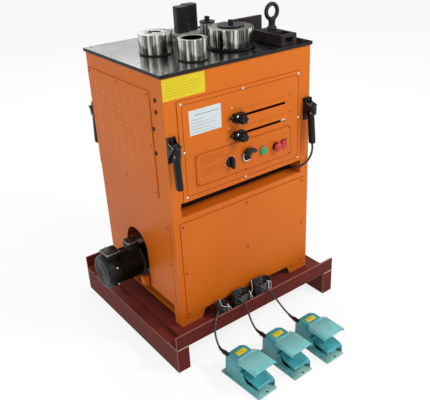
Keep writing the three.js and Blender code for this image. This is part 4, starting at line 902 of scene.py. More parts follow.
def twist_tie(name, aside, *tails):
    """A tie round the front run of a hank; tails are lists of places from the knot."""
    hank_x, _, loops = HANKS[name]
    x, y = hank_x + aside, COIL_Y - FOLD_RADIUS
    half = CORD_RADIUS + TIE_RADIUS + TIE_GAP
    top = COIL_START + (loops - 1) * LOOP_PITCH + half
    bottom = COIL_START + LOOP_PITCH / 2 - half
    ring = [Vector((x, v, w)) for v, w in rounded(y - half, y + half, bottom, top, 4.2, 5)]
    knot = Vector((x, y - half - 0.5, top - 6))
    parts = [tube("band", [*ring, ring[0]], TIE_RADIUS, TIE_SIDES),
             turned_piece("knot", KNOT, knot, sides=12)]
    for tail in tails:
        line = smooth_line([knot, *(knot + Vector(step) for step in tail)], 6)
        parts.append(tube("tail", line, TIE_RADIUS * 0.8, TIE_SIDES))
    return dress(shade(joined(f"tie_{name}", *(paint(part, "tie_plastic") for part in parts))))


for name, row in TAILS.items():
    twist_tie(name, *row)

# %% [markdown]
# The supply lead is held at both ends: it leaves a nut on the right side of the cabinet, makes
# a loop and goes into the slot under the panel.

# %% Supply lead
CORNER = Vector((304.5, -243, 548.2))
LEAD_PLACES = ((20, 17, 188), (23, 14, 160), (21, 5, 118), (14, -9, 86), (-6, -19, 62), (-30, -19, 42),
               (-52, -5, 28), (-66, 17, 22), (-74, 43, 20))
lead_line = smooth_line([CORNER + Vector(spot) for spot in LEAD_PLACES], 6)
supply = joined("supply_lead", paint(tube("supply_tube", lead_line, 4, CORD_SIDES), "cord_rubber"),
                lathe("supply_nut", "black_plastic", [(0, 0.3), (13, 0.3), (13, 3), (11, 3), (11, 14),
                                                      (9.5, 16), (0, 16)],
                      CORNER + Vector((0, 17, 190)), "X", 6))
stand_in(shade(supply, 40), "side_lead")

# %% [markdown]
# ## Rollers
# The bending rollers and the two loose sleeves are turned steel rings. A ring is a rounded
# rectangle swept round a circle, which is Curve to Mesh on two curves. The tree takes the
# ring's outer radius, bore, height and corner round, so one tree makes all four.

# %% A tree for turned rings
def ring_tree():
    tree, given = new_tree("turned_ring", Outer="number", Bore="number", Height="number", Round="number",
                           Centre="vector", Finish="finish")
    start = Value(tree)
    circle = start.node("GeometryNodeCurvePrimitiveCircle", {"mode": "RADIUS"},
                        {"Resolution": 128, "Radius": (given["Outer"] + given["Bore"]) * 0.5})
    section = start.node("GeometryNodeCurvePrimitiveQuadrilateral", {"mode": "RECTANGLE"},
                         {"Width": given["Outer"] - given["Bore"], "Height": given["Height"]})
    eased = start.node("GeometryNodeFilletCurve", {"mode": "POLY"},
                       {"Curve": section, "Count": 3, "Radius": given["Round"]})
    ring = start.node("GeometryNodeCurveToMesh", None, {"Curve": circle, "Profile Curve": eased})
    placed = start.node("GeometryNodeSetPosition", None, {"Geometry": ring, "Offset": given["Centre"]})
    end_tree(placed, given["Finish"])
    return tree


RING = ring_tree()

# %% Four rollers
SLEEVE_BORES = {"left": 21, "front": 33}
# The dark and light tones are those of the painted reflection bands on the roller walls.
SLEEVE_TONES = {"dark": (96, 96, 92)}
ROLLERS = {"centre_roller": (14.3, {}),
           "bending_roller": (9.3, {"dark": (70, 70, 70), "light": (150, 150, 148), "roughness": 0.22}),
           "sleeve_roller_left": (SLEEVE_BORES["left"], SLEEVE_TONES),
           "sleeve_roller_front": (SLEEVE_BORES["front"], SLEEVE_TONES)}
ROLLER_ROUND = 1.8
for node, (bore, tones) in ROLLERS.items():
    (x0, y0, z0), (x1, y1, z1) = edges(node)
    centre = place((x0 + x1) / 2, (y0 + y1) / 2, (z0 + z1) / 2)
    steel = turned_steel(f"{node}_steel", centre, bore * MM, **tones)
    made = grow(f"{node}_turned", RING, Outer=(x1 - x0) / 2 * MM, Bore=bore * MM, Height=(z1 - z0) * MM,
                Round=ROLLER_ROUND * MM, Centre=centre, Finish=steel)
    stand_in(shade(made, 30), node)

# %% [markdown]
# ## Posts, caps and bolts
# The sleeves stand on thin black rings with a low boss; the left one also has a half-round key
# that reaches up its bore. The caps are thick washers under a socket-head bolt. All are turned
# profiles, and the bolt's hexagon socket is cut with a Boolean modifier.

# %% Sleeve posts
def middle_of(node):
    (x0, y0, _), (x1, y1, _) = edges(node)
    return (x0 + x1) / 2, (y0 + y1) / 2


SLEEVE_TOP = edges("sleeve_roller_left")[1][2]
KEY_TURN = 142
FINISH["key_steel"] = turned_steel("key_steel", place(*middle_of("sleeve_post_left"), 0))
for name, bore in SLEEVE_BORES.items():
    node = f"sleeve_post_{name}"
    x, y = middle_of(node)
    (_, _, z0), (x1, _, _) = edges(node)
    ring = x1 - x
    parts = [lathe(f"{node}_ring", "tool_black", [
        (0, 0), (ring, 0), (ring, 2.6), (ring - 0.4, 3), (bore - 0.3, 3), (bore - 0.3, 16),
        (bore - 1.3, 17), (0, 17)], (x, y, z0), sides=96)]
    if name == "left":
        half_round = arc((x, y), bore - 0.4, KEY_TURN, KEY_TURN + 180, 24)
        nub = arc((x, y), 14, KEY_TURN, KEY_TURN, 1)[0]
        parts += [slab(f"{node}_key", "key_steel", half_round, "Z", z0 + 10, SLEEVE_TOP - 0.3, 0.6),
                  lathe(f"{node}_nub", "tool_black", [(0, 0), (5, 0), (5, 4.6), (4, 5.6), (0, 5.8)],
                        (*nub, SLEEVE_TOP - 2), sides=20)]
    stand_in(shade(joined(f"{node}_turned", *parts)), node)

# %% Caps with socket-head bolts
CAP_PLATE, BOLT_RADIUS, SOCKET_DEPTH = 5, 9, 7
for node in ("centre_roller_cap", "bending_roller_cap"):
    x, y = middle_of(node)
    (_, _, z0), (x1, _, z1) = edges(node)
    edge, tall, seat = x1 - x, z1 - z0 - CAP_PLATE, (x, y, z0 + CAP_PLATE)
    disc = lathe("disc", "black_steel", [(0, 0), (edge - 0.8, 0), (edge, 0.8), (edge, CAP_PLATE - 1.2),
                                         (edge - 1.2, CAP_PLATE), (0, CAP_PLATE)], (x, y, z0), sides=72)
    head = turned_piece("head", [(0, -2), (BOLT_RADIUS, -2), (BOLT_RADIUS, tall - 1),
                                 (BOLT_RADIUS - 1, tall), (0, tall)], seat, sides=40)
    socket = turned_piece("socket", [(r * BOLT_RADIUS * 0.55, h) for r, h in (
        (0, tall - SOCKET_DEPTH), (1, tall - SOCKET_DEPTH), (1, tall + 2), (0, tall + 2))], seat, sides=6)
    bolt = paint(cut_by(head, socket), "black_steel")
    stand_in(shade(joined(f"{node}_turned", disc, bolt)), node)

# %% [markdown]
# ## Eye bolt
# The eye bolt is forged in one piece: a ring, a waisted neck and a collar. The ring is a tube
# swept round a circle that stands on edge, and the rest is turned. It screws into the block.

# %% Eye bolt
def hoop(name, centre, major, minor, rings=56, sides=20):
    """A ring standing on edge, its hole seen from the front."""
    rows = [[(centre[0] + (major + u) * across, centre[1] + v, centre[2] + (major + u) * up)
             for u, v in circle(minor, sides)] for across, up in circle(1, rings)]
    return skin(name, rows, False, True)


EYE_X, EYE_Y = middle_of("eye_bolt")
EYE_SEAT = edges("stop_block")[1][2]
EYE_RISE, EYE_MAJOR, EYE_MINOR = 60.5, 24.8, 7
EYE_STEM = [(0, -20), (8, -20), (8, 0.3), (16, 0.3), (16.4, 1.5), (16.4, 9), (14.5, 11.5), (12.4, 13),
            (11.4, 18), (11.4, 24), (12.4, 30), (14, 34), (9, 39), (0, 39)]
eye = paint(hoop("eye_ring", (EYE_X, EYE_Y, EYE_SEAT + EYE_RISE), EYE_MAJOR, EYE_MINOR), "tool_black")
stem = lathe("eye_stem", "tool_black", EYE_STEM, (EYE_X, EYE_Y, EYE_SEAT), sides=40)
stand_in(shade(joined("eye_bolt_forged", eye, stem), 50), "eye_bolt")

# %% [markdown]
# ## Blocks and bars on the table
# The jaws, the fence and the stop are sawn from bar and milled, and then blacked. Their solids
# have the right shape with knife edges, so each is copied, welded into whole faces and given
# a Bevel. The bed under the jaws is bare ground steel, as are the two cutting blades.

# %% Milled pieces
MILLED = {"cutter_moving_jaw": (2.4, "black_steel"), "fence_bar": (1.6, "tool_black"),
          "stop_housing": (1.8, "tool_black"), "stop_block": (1.4, "tool_black"),
          "bending_arm": (1.2, "black_steel")}
for node, (width, finish) in MILLED.items():
    stand_in(soften(copy_of(node), width), node, finish)
print("milled pieces", len(MILLED))


def sorted_faces(piece, finishes, chosen):
    """Gives the piece several finishes; chosen says which one a face takes."""
    for finish in finishes:
        piece.data.materials.append(FINISH[finish])
    for face in piece.data.polygons:
        face.material_index = chosen(face)
    return piece


table = sorted_faces(copy_of("table_plate"), ("table_black", "black_steel"),
                     lambda face: abs(face.normal.z) <= 0.5)
stand_in(soften(table, 1.0), "table_plate")
BED_TOP = edges("cutter_frame")[0][2] + 12
bed = sorted_faces(soften(copy_of("cutter_frame"), 2.0), ("black_steel", "machined_steel"),
                   lambda face: face.center.z < place(0, 0, BED_TOP + 0.5).z)
stand_in(bed, "cutter_frame")
print("bed top", round(BED_TOP, 1))

# %% Cutting blades and table screws
LEFTWARD, FORWARD, BACKWARD, UPWARD = (-1, 0, 0), (0, -1, 0), (0, 1, 0), (0, 0, 1)
JAW_FACE_X = 58
MOVING_FACE_X = edges("cutter_moving_jaw")[0][0]
BLADE = rounded(134, 170, BED_TOP + 2, BED_TOP + 34, 2)
BLADES = {"fixed_blade": ("machine", 0, JAW_FACE_X - 4, JAW_FACE_X + 2.5),
          "moving_blade": ("cutter_moving_jaw", 20, MOVING_FACE_X - 2.5, MOVING_FACE_X + 4)}
for name, (body, back, x0, x1) in BLADES.items():
    blade = slab(name, "zinc_steel", [(y + back, z) for y, z in BLADE], "X", x0, x1, 0.5)
    dress(blade, body)

BED_SCREWS = [((14, 232, BED_TOP), UPWARD, 10, 1), ((14, 188, BED_TOP), UPWARD, 25, 1)]
dress(spread("bed_bolts", BOLT, BED_SCREWS, "black_steel", 0.62))
FENCE_X0, FENCE_X1 = edges("fence_bar")[0][0], edges("fence_bar")[1][0]
FENCE_BOLTS = [((x, 8, TABLE_TOP + 10.3), UPWARD, turn, 1)
               for x, turn in ((FENCE_X0 + 26, 12), (FENCE_X1 - 26, 35))]
dress(spread("fence_bolts", BOLT, FENCE_BOLTS, "tool_black", 0.8))

# %% [markdown]
# ## Cabinet: folded sheet
# The upper cabinet is one folded shell with four welded handle brackets, and the CAD holds them
# as one solid. The brackets are black and the shell is orange. The back of the tool slot lies in
# shade, and that shade is painted on it as a near-black finish. So the copy gets three finishes,
# and each face takes one by where it lies: whatever stands out of the sheet is a bracket. The
# bracket ears are also cut to a slant.

# %% Upper cabinet in three finishes
HANDLE_ASIDE, BRACKET_TOP = 2.5, 836.2
EAR_SHAPE = {(19, 836): (13, 836.2), (38, 827): (15, 822.5), (38, 802): (42, 814)}
EAR_START, SLOT_DEEP, SLOT_TOP = 0.4, 8, 600
shell = soften(copy_of("upper_cabinet"), 0.8)
for corner in shell.data.vertices:
    x, y, z = [value / MM for value in corner.co - MIDDLE]
    if abs(y) > -SHEET_FACE + EAR_START:
        wanted = EAR_SHAPE.get((round(abs(y) + SHEET_FACE), round(z)), (abs(y) + SHEET_FACE, z))
        corner.co = place(x + math.copysign(HANDLE_ASIDE, x), math.copysign(wanted[0] - SHEET_FACE, y),
                          wanted[1])


def shell_part(face):
    """0 for the sheet, 1 for a bracket and 2 for the back of the tool slot, which takes painted shade."""
    _, y, z = (face.center - MIDDLE) / MM
    if face.normal.y < -0.5 and SHEET_FACE + SLOT_DEEP < y < 0 and z < SLOT_TOP:
        return 2
    return int(abs(y) >= EAR_START - SHEET_FACE)


sorted_faces(shell, ("orange_paint", "black_steel", "inside_black"), shell_part)
stand_in(shell, "upper_cabinet")
print("shell faces", len(shell.data.polygons))

# %% [markdown]
# ## Perforated side panel
# A perforated plate is the plainest use of Fill Curve: the plate's outline and a grid of
# circles go in, and a flat face with holes comes out. Extrude Mesh lifts a second face from it
# and makes the walls of the outline and of every hole, and the first face, flipped, closes the
# back. Hole size, pitch and count are inputs, so another vent panel is a matter of numbers.

# %% A tree for perforated plates
def plate_tree():
    tree, given = new_tree("perforated_plate", Width="number", Height="number", Corner="number",
                           Thickness="number", Hole="number", First="vector", Pitch="vector",
                           Across="count", Up="count", Finish="finish")
    start = Value(tree)
    border = start.node("GeometryNodeCurvePrimitiveQuadrilateral", {"mode": "RECTANGLE"},
                        {"Width": given["Width"], "Height": given["Height"]})
    border = start.node("GeometryNodeFilletCurve", {"mode": "POLY"},
                        {"Curve": border, "Count": 4, "Radius": given["Corner"]})
    columns = start.node("GeometryNodeMeshLine", None, {
        "Count": given["Across"], "Start Location": given["First"],
        "Offset": given["Pitch"].stretch(1, 0, 0)})
    rows = start.node("GeometryNodeMeshLine", None, {
        "Count": given["Up"], "Offset": given["Pitch"].stretch(0, 1, 0)})
    spots = start.node("GeometryNodeInstanceOnPoints", None, {"Points": columns, "Instance": rows})
    spots = start.node("GeometryNodeRealizeInstances", None, {0: spots})
    circle = start.node("GeometryNodeCurvePrimitiveCircle", {"mode": "RADIUS"},
                        {"Resolution": 16, "Radius": given["Hole"]})
    holes = start.node("GeometryNodeInstanceOnPoints", None, {"Points": spots, "Instance": circle})
    holes = start.node("GeometryNodeRealizeInstances", None, {0: holes})
    curves = start.node("GeometryNodeJoinGeometry")
    for piece in (border, holes):
        tree.links.new(piece.socket, curves.socket.node.inputs[0])
    flat = start.node("GeometryNodeFillCurve", None, {0: curves})
    lifted = start.node("GeometryNodeExtrudeMesh", {"mode": "FACES"},
                        {"Mesh": flat, "Offset Scale": given["Thickness"], "Individual": False})
    back = start.node("GeometryNodeFlipFaces", None, {0: flat})
    both = start.node("GeometryNodeJoinGeometry")
    for piece in (lifted, back):
        tree.links.new(piece.socket, both.socket.node.inputs[0])
    whole = start.node("GeometryNodeMergeByDistance", None, {"Geometry": both, "Distance": 0.00002})
    end_tree(whole, given["Finish"])
    return tree


(VENT_X0, VENT_Y0, VENT_Z0), (VENT_X1, VENT_Y1, VENT_Z1) = edges("vent_panel")
VENT_HOLE, FIRST_Y, PITCH_Y, FIRST_Z, PITCH_Z = 3.1, -61, 50.3, 697.2, 19.8
VENT_COLUMNS, VENT_ROWS = 6, 12
VENT_Y, VENT_Z = (VENT_Y0 + VENT_Y1) / 2, (VENT_Z0 + VENT_Z1) / 2
vent = grow("vent_plate", plate_tree(), Width=(VENT_Y1 - VENT_Y0) * MM, Height=(VENT_Z1 - VENT_Z0) * MM,
            Corner=2 * MM, Thickness=(VENT_X1 - VENT_X0) * MM, Hole=VENT_HOLE * MM,
            First=(-(FIRST_Y + PITCH_Y * (VENT_COLUMNS - 1) - VENT_Y) * MM, (FIRST_Z - VENT_Z) * MM, 0),
            Pitch=(PITCH_Y * MM, PITCH_Z * MM, 0), Across=VENT_COLUMNS, Up=VENT_ROWS,
            Finish=FINISH["orange_paint"])
facing_left = Matrix(((0, 0, -1), (-1, 0, 0), (0, 1, 0))).to_4x4()
vent.data.transform(Matrix.Translation(place(VENT_X1, VENT_Y, VENT_Z)) @ facing_left)
stand_in(shade(vent), "vent_panel")

# %% [markdown]
# Each hole was punched outwards, so it has a small raised lip. The lip is painted pale orange, a
# painted highlight of the light it catches. The lips, the screws and the rubber plugs are all
# placed with the spread tree.

# %% Lips, screws and plugs
LIP_ROWS = ((1.5, -0.2), (0.9, 0.5), (-0.1, 0.9), (-0.7, 0.3), (-0.7, -0.8))
LIP = shape_of(skin("lip", [[(u, v, h) for u, v in circle(VENT_HOLE + r, 12)] for r, h in LIP_ROWS],
                    False, True))
holes = [((VENT_X0, FIRST_Y + PITCH_Y * i, FIRST_Z + PITCH_Z * k), LEFTWARD, 0, 1)
         for i in range(VENT_COLUMNS) for k in range(VENT_ROWS)]
dress(spread("vent_lips", LIP, holes, "worn_orange"))

PANEL_FACE, PLATE_FACE, LOWER_FACE = (
    edges(node)[0][1] for node in ("control_panel", "switch_plate", "lower_front_panel"))
REAR_FACE = edges("back_panel")[1][1]


def screws(name, facing, face, finish, size, spots):
    """Screws on a flat face; their places are read on it, across and up."""
    places = [((face, u, v) if facing == LEFTWARD else (u, face, v), facing, 37 * i % 90, 1)
              for i, (u, v) in enumerate(spots)]
    return dress(spread(name, SCREW, places, finish, size))


def grid(columns, rows):
    return [(u, v) for u in columns for v in rows]


screws("panel_screws", FORWARD, PANEL_FACE, "zinc_steel", 0.9,
       grid((-244, 0, 247), (930, 615)) + [(-244, 772), (247, 772)])
# These screws are painted a darker orange than the sheet: painted shade of their recesses.
screws("plate_screws", FORWARD, PLATE_FACE, "rust_orange", 0.62,
       [(-197, 745), (201, 745), (200, 649), (-196, 649), (0, 645)])
screws("lower_screws", FORWARD, LOWER_FACE, "rust_orange", 0.8, grid((-270, 3, 272), (512, 330, 160)))
screws("vent_screws", LEFTWARD, VENT_X0, "rust_orange", 0.62,
       [(-154, 956), (37, 956), (226, 956), (-154, 621), (37, 621), (226, 621), (-154, 789), (226, 789)])
screws("side_screws", LEFTWARD, SIDE_FACE, "rust_orange", 0.7, [(-201, 508), (-204, 359), (216, 523)])
screws("rear_screws", BACKWARD, REAR_FACE, "zinc_steel", 0.9,
       grid((-256, 0, 256), (212, 998)) + grid((-256, 256), (474, 736)))
PLUG = shape_of(turned_piece("plug", [(0, -1), (7.4, -1), (7.4, 0.8), (6.6, 2.2), (5.2, 2.6), (4.6, 1.6),
                                      (0, 1.4)], (0, 0, 0), sides=24))
plugs = [((SIDE_FACE, y, z), LEFTWARD, 0, 1)
         for y, z in ((-200, 947), (-199.5, 910), (-177, 850), (-178, 768.5))]
dress(spread("post_plugs", PLUG, plugs, "black_plastic"))

# %% [markdown]
# The back panel breathes through pressed louvres. Each slot in the sheet has a hood over it,
# which is a shell that bulges most at its middle. One hood is drawn, and the tree repeats it.

# %% Louvre hoods
def louvre_hood(half, tall, deep, sheet, columns=10, rows=5):
    """The outer skin of the hood and then the inner one; a rim joins their borders."""
    points, faces = [], []
    for thin in (0, sheet):
        for i in range(columns + 1):
            share = i / columns
            bulge = min(1, 3.2 * math.sin(math.pi * share)) * (deep - thin)
            for lean in (math.pi / 2 * k / rows for k in range(rows + 1)):
                points.append(((2 * share - 1) * half, 0.4 + bulge * math.sin(lean),
                               (tall - thin) * math.cos(lean)))
    width, layer = rows + 1, (columns + 1) * (rows + 1)
    for a in (i * width + k for i in range(columns) for k in range(rows)):
        faces += [(a, a + 1, a + 1 + width, a + width),
                  (a + layer, a + width + layer, a + 1 + width + layer, a + 1 + layer)]
    rim = ([i * width for i in range(columns + 1)] + [columns * width + k for k in range(1, rows + 1)]
           + [i * width + rows for i in range(columns - 1, -1, -1)] + list(range(rows - 1, 0, -1)))
    faces += [(a, b, b + layer, a + layer) for a, b in zip(rim, rim[1:] + rim[:1])]
    return shape_of(mesh_piece("hood", points, faces))


LOUVRE_X, LOUVRE_Z, LOUVRE_STEP, LOUVRE_ROWS = 120, 543.9, 24, 8
louvres = [((side * LOUVRE_X, REAR_FACE - 0.2, LOUVRE_Z + LOUVRE_STEP * row), UPWARD, 0, 1)
           for side in (-1, 1) for row in range(LOUVRE_ROWS)]
dress(spread("louvre_hoods", louvre_hood(62, 13, 7, 1), louvres, "orange_paint"))

# %% [markdown]
# ## Seams, plates and scales
# Where two painted sheets meet, the gap lies in shade, and that shade is painted here: a thin
# dark-red ring set into the sheet, so it shows from any side and under any light. The two label
# plates are thin foils with ruled lines and no words, and each slot has a plain scale of ticks
# over it.

# %% Seam lines
# Painted shade: dark-red rings for the gaps round the panels.
SEAMS = {"panel_seam": (-243, 248, 616, 928, 14, PANEL_FACE, 1.7),
         "plate_seam": (-203.5, 209.5, 641.7, 751.7, 10, PLATE_FACE, 1.5),
         "panel_edge_seam": (-259.2, 259.2, 598.2, 941.4, 2, SHEET_FACE - 0.1, 1.0),
         "lower_edge_seam": (-281.2, 281.2, 142.7, 527.1, 2, SHEET_FACE - 0.1, 1.2)}
for name, (x0, x1, z0, z1, corner, face, width) in SEAMS.items():
    inner = rounded(x0 + width, x1 - width, z0 + width, z1 - width, max(corner - width, 0.2))
    dress(outline_ring(name, rounded(x0, x1, z0, z1, corner), inner, "Y", face - 0.25, face + 0.3),
          finish="seam_red")
print("seams", len(SEAMS))


def strip(name, finish, u0, u1, v0, v1, upright_to, low, high):
    """A painted bar with square corners."""
    return slab(name, finish, [(u0, v0), (u1, v0), (u1, v1), (u0, v1)], upright_to, low, high)


# Painted shade of the gaps beside the post and the side panel.
for name, y, z0, z1 in (("post_seam", -169.2, 604, 935), ("side_seam", -216, 204, 525)):
    dress(strip(name, "seam_red", y - 0.8, y + 0.8, z0, z1, "X", SIDE_FACE - 0.25, SIDE_FACE + 0.3))


# %% Label plates
def ruled(name, finish, low, high, rows):
    """Rules on a face that looks forward; rows are (left, foot, length, thickness)."""
    rules = [strip("rule", finish, x, x + run, z, z + thick, "Y", low, high) for x, z, run, thick in rows]
    dress(joined(name, *rules))


def label_plate(name, x0, x1, z0, z1, face, finish, line_finish, rows):
    dress(slab(name, finish, rounded(x0, x1, z0, z1, 1.5), "Y", face - 0.5, face - 0.05, 0.15, 1))
    ruled(f"{name}_rules", line_finish, face - 0.62, face - 0.4, rows)


label_plate("yellow_plate", SIDE_FACE + 1, -148, 950.5, 1017.5, SHEET_FACE, "yellow_foil", "dull_yellow",
            [(-292, 1004 - 8.4 * i, run, 1.1) for i, run in enumerate((74, 126, 132, 118, 130, 96))])
label_plate("pale_plate", -218, -93.5, 821, 903, PANEL_FACE, "pale_foil", "grey_ink",
            [(-196, 884, 90, 2.2),
             *((-208, 870 - 10.4 * i, run, 1.0) for i, run in enumerate((48, 88, 96, 66, 84)))])
ruled("plate_rules", "faint_ink", PLATE_FACE - 0.12, PLATE_FACE + 0.2,
      [(-188, z, run, 1.1) for z, run in ((737, 100), (729.5, 96), (722, 98), (714.5, 60),
                                          (695, 100), (687.5, 92), (680, 98), (672.5, 54))])

# %% Tick scales over the slots
TICK = shape_of(strip("tick", "faint_ink", -0.45, 0.45, 0, 4, "Y", -0.12, 0.2))
SCALE_HEIGHTS = (860, 798)
TICK_START, TICK_STEP, TICK_COUNT, LONG_EVERY = -14, 5, 39, 6
ticks = [((TICK_START + TICK_STEP * i, PANEL_FACE, z), UPWARD, 0, (1, 1, 1.9 if i % LONG_EVERY == 0 else 1.1))
         for z in SCALE_HEIGHTS for i in range(TICK_COUNT)]
dress(spread("slot_ticks", TICK, ticks, "faint_ink"))


def lettering(text, height, x, z, face):
    """Figures from Blender's own plain font, stood on a face that looks forward."""
    curve = bpy.data.curves.new("figure", "FONT")
    curve.body, curve.align_x = text, "CENTER"
    curve.size, curve.extrude = height * MM * 1.4, 0.15 * MM
    made = fixed(link("figure", curve))
    upright = Matrix(((1, 0, 0), (0, 0, -1), (0, 1, 0))).to_4x4()
    made.data.transform(Matrix.Translation(place(x, face, z)) @ upright)
    return paint(made, "ink")


FIGURES = (("180", 6, 206, 862, PANEL_FACE), ("180", 6, 206, 800, PANEL_FACE),
           ("ON", 4, 175, 725, PLATE_FACE), ("OFF", 4, 175, 667, PLATE_FACE))
dress(joined("scale_figures", *(lettering(*row) for row in FIGURES)))

# %% Small bright bits on the panel
# Two pale domes are painted glints.
for name, x, z in (("pilot_upper", -49, 875), ("pilot_lower", -64, 808)):
    dome = lathe(name, "pale_ink", [(0, -1), (3.4, -1), (3.4, 0.6), (2.6, 1.5), (1.2, 2.1), (0, 2.2)],
                 (x, PANEL_FACE, z), "-Y", 20)
    dress(shade(dome, 50))
dress(slab("slot_strip", "zinc_steel", [(163, 776), (187, 776), (187, 785.6), (176, 785.6)], "Y",
           PANEL_FACE + 0.7, PANEL_FACE + 1.7))

# %% [markdown]
# ## Controls on the panel
# Knobs, levers and buttons are moulded plastic. A lobed knob is a turned shape whose radius
# also swings with the angle, so one list of rings draws it. Each control rides on its own
# body, and the bezel round it stays with the panel.

# %% Lobed knobs on sliders
def lobed_piece(name, profile, centre, lobes, swing, sides=72):
    """Turned about -Y; profile rows are (radius, height, how much of the swing it has)."""
    x, y, z = centre
    rows = []
    for radius, height, share in profile:
        reaches = (radius + swing * share * math.cos(2 * math.pi * lobes * k / sides) for k in range(sides))
        rows.append([(x + reach * u, y - height, z + reach * v)
                     for reach, (u, v) in zip(reaches, circle(1, sides))])
    return skin(name, rows)


SLIDER_FOOT, KNOB_LOBES, KNOB_SWING = 0.4, 6, 2.4
for level in ("lower", "upper"):
    node = f"angle_slider_{level}"
    (x0, y0, z0), (x1, _, z1) = edges(node)
    middle, height, y1 = (x0 + x1) / 2, (z0 + z1) / 2, PANEL_FACE - SLIDER_FOOT
    parts = [slab("shoe", "black_plastic", rounded(x0, x1, z0 + 2, z1 - 1, 5), "Y", y0, y1, 1.6, 3),
             lathe("lug", "black_plastic", [(0, -4), (5.6, -4), (5.6, 13), (4.6, 15.6), (2.6, 17), (0, 17)],
                   (x0, (y0 + y1) / 2, height + 5), "-X", 28),
             lathe("stud", "zinc_steel", [(0, -2), (4.2, -2), (4.2, 1.6), (3, 3), (0, 3.4)],
                   (x0 + 8, y0, height + 8), "-Y", 24)]
    stand_in(shade(joined(f"slider_{level}_moulded", *parts)), node)
    node = f"angle_knob_{level}"
    (_, knob_y0, _), (_, knob_y1, _) = edges(node)
    deep = knob_y1 - knob_y0
    rings = [(8, 0, 0), (8, 4.5, 0), (11, 5.2, 0.4), (14.2, 6.4, 1), (15, 8, 1), (15, deep - 4, 1),
             (14, deep - 1.6, 1), (12.2, deep - 0.4, 0.8), (9, deep, 0.2), (7.4, deep, 0), (7, deep - 1, 0),
             (3, deep - 1, 0)]
    knob = lobed_piece(f"knob_{level}_moulded", rings, (middle, knob_y1, height), KNOB_LOBES, KNOB_SWING)
    stand_in(shade(knob, 50), node, "black_plastic")

# %% Turned pieces and outlines on the switch plate
SWITCH_Z = 691.2
ROTARY_X, SELECTOR_X, START_X, STOP_X, ROCKER_X = -66, 3, 79, 138, 175


def on_plate(name, finish, x, sides, profile):
    return lathe(name, finish, profile, (x, PLATE_FACE, SWITCH_Z), "-Y", sides)


def plate_bar(name, x, outline, top, foot, width, angle):
    """A black moulded bar over the plate, drawn round its switch's own middle."""
    outline = [(x + u, SWITCH_Z + v) for u, v in outline]
    return slab(name, "black_plastic", outline, "Y", PLATE_FACE - top, PLATE_FACE - foot, width, 3, angle)


# %% Rotary knob and its scale
WING = [(0, 23), (4.5, 19), (6.6, 8), (6.6, -8), (4.5, -19), (0, -23), (-4.5, -19), (-6.6, -8), (-6.6, 8),
        (-4.5, 19)]
skirt = on_plate("rotary_skirt", "black_plastic", ROTARY_X, 56,
                 [(0, 0.4), (18, 0.4), (18, 2), (17, 5), (14, 7.6), (0, 8)])
wing = plate_bar("rotary_bar", ROTARY_X, WING, 21.5, 6, 1.8, 20)
stand_in(shade(joined("rotary_moulded", skirt, wing)), "rotary_knob")

DIAL_IN, DIAL_OUT, DIAL_START, DIAL_STEP, DIAL_TICKS = 19.4, 23.4, -45, 30, 10
marks = []
for turn in (math.radians(DIAL_START + DIAL_STEP * i) for i in range(DIAL_TICKS)):
    outline = [(ROTARY_X + u * math.cos(turn) - v * math.sin(turn),
                SWITCH_Z + u * math.sin(turn) + v * math.cos(turn))
               for u, v in ((DIAL_IN, -0.8), (DIAL_OUT, -0.8), (DIAL_OUT, 0.8), (DIAL_IN, 0.8))]
    marks.append(slab("mark", "pale_foil", outline, "Y", PLATE_FACE - 0.2, PLATE_FACE + 0.2))
dress(joined("rotary_scale", *marks))

# %% Bezels
# The dark-red rings round the selector and the start button and the disc under the stop are painted shadow of
# these controls on the plate; the stop's collar is real, and its dark red is painted shadow too.
BEZELS = {"selector_gasket": (SELECTOR_X, 13, 19, 1.2, "dark_red_plastic"),
          "selector_bezel": (SELECTOR_X, 13.2, 17.4, 5.5, "zinc_steel"),
          "start_gasket": (START_X, 12.6, 17, 1.4, "dark_red_plastic"),
          "start_bezel": (START_X, 12.8, 15, 5, "zinc_steel"),
          "stop_bezel": (STOP_X, 8.8, 15.5, 3, "dark_red_plastic"),
          "stop_collar": (STOP_X, 8.8, 11.4, 4.6, "dark_red_plastic")}
for name, (x, inner, outer, deep, finish) in BEZELS.items():
    loops = [rounded(x - r, x + r, SWITCH_Z - r, SWITCH_Z + r, r - 0.01, 12) for r in (outer, inner)]
    ring = outline_ring(name, *loops, "Y", PLATE_FACE - deep, PLATE_FACE + 0.2)
    dress(soften(ring, 0.9, 3, 50), finish=finish)
print("bezels", len(BEZELS))

# %% Selector lever
FLAG = [(-8, 2), (-13, 15), (-13, 26), (-9, 32), (-2, 34), (14, 31), (28, 26), (35, 21), (37, 16), (35, 12),
        (28, 11), (14, 13), (9, 8), (8, 2), (5, -5), (-5, -5)]
hub = on_plate("selector_hub", "black_plastic", SELECTOR_X, 44,
               [(0, 0.4), (12.8, 0.4), (12.8, 5), (11, 7), (9, 7.6), (9, 12), (0, 12)])
flag = plate_bar("selector_flag", SELECTOR_X, FLAG, 19, 9, 2.2, 15)
stand_in(shade(joined("selector_moulded", hub, flag)), "selector_lever")

# %% Start and stop
start = on_plate("start_cap", "green_plastic", START_X, 44,
                 [(0, 4.4), (12.3, 4.4), (12.3, 8.4), (11.4, 9.8), (9.4, 10.1), (8.8, 9.4), (4.4, 9.1),
                  (0, 9)])
stand_in(shade(start, 40), "start_button")
stop = on_plate("stop_cap", "stop_red", STOP_X, 52,
                [(0, 5), (7.8, 5), (7.8, 11), (14.4, 11.6), (16.4, 13.4), (16.4, 15.4), (15.4, 18.4),
                 (12.8, 21), (8.6, 23), (4, 23.8), (0, 24)])
stand_in(shade(stop, 50), "stop_button")

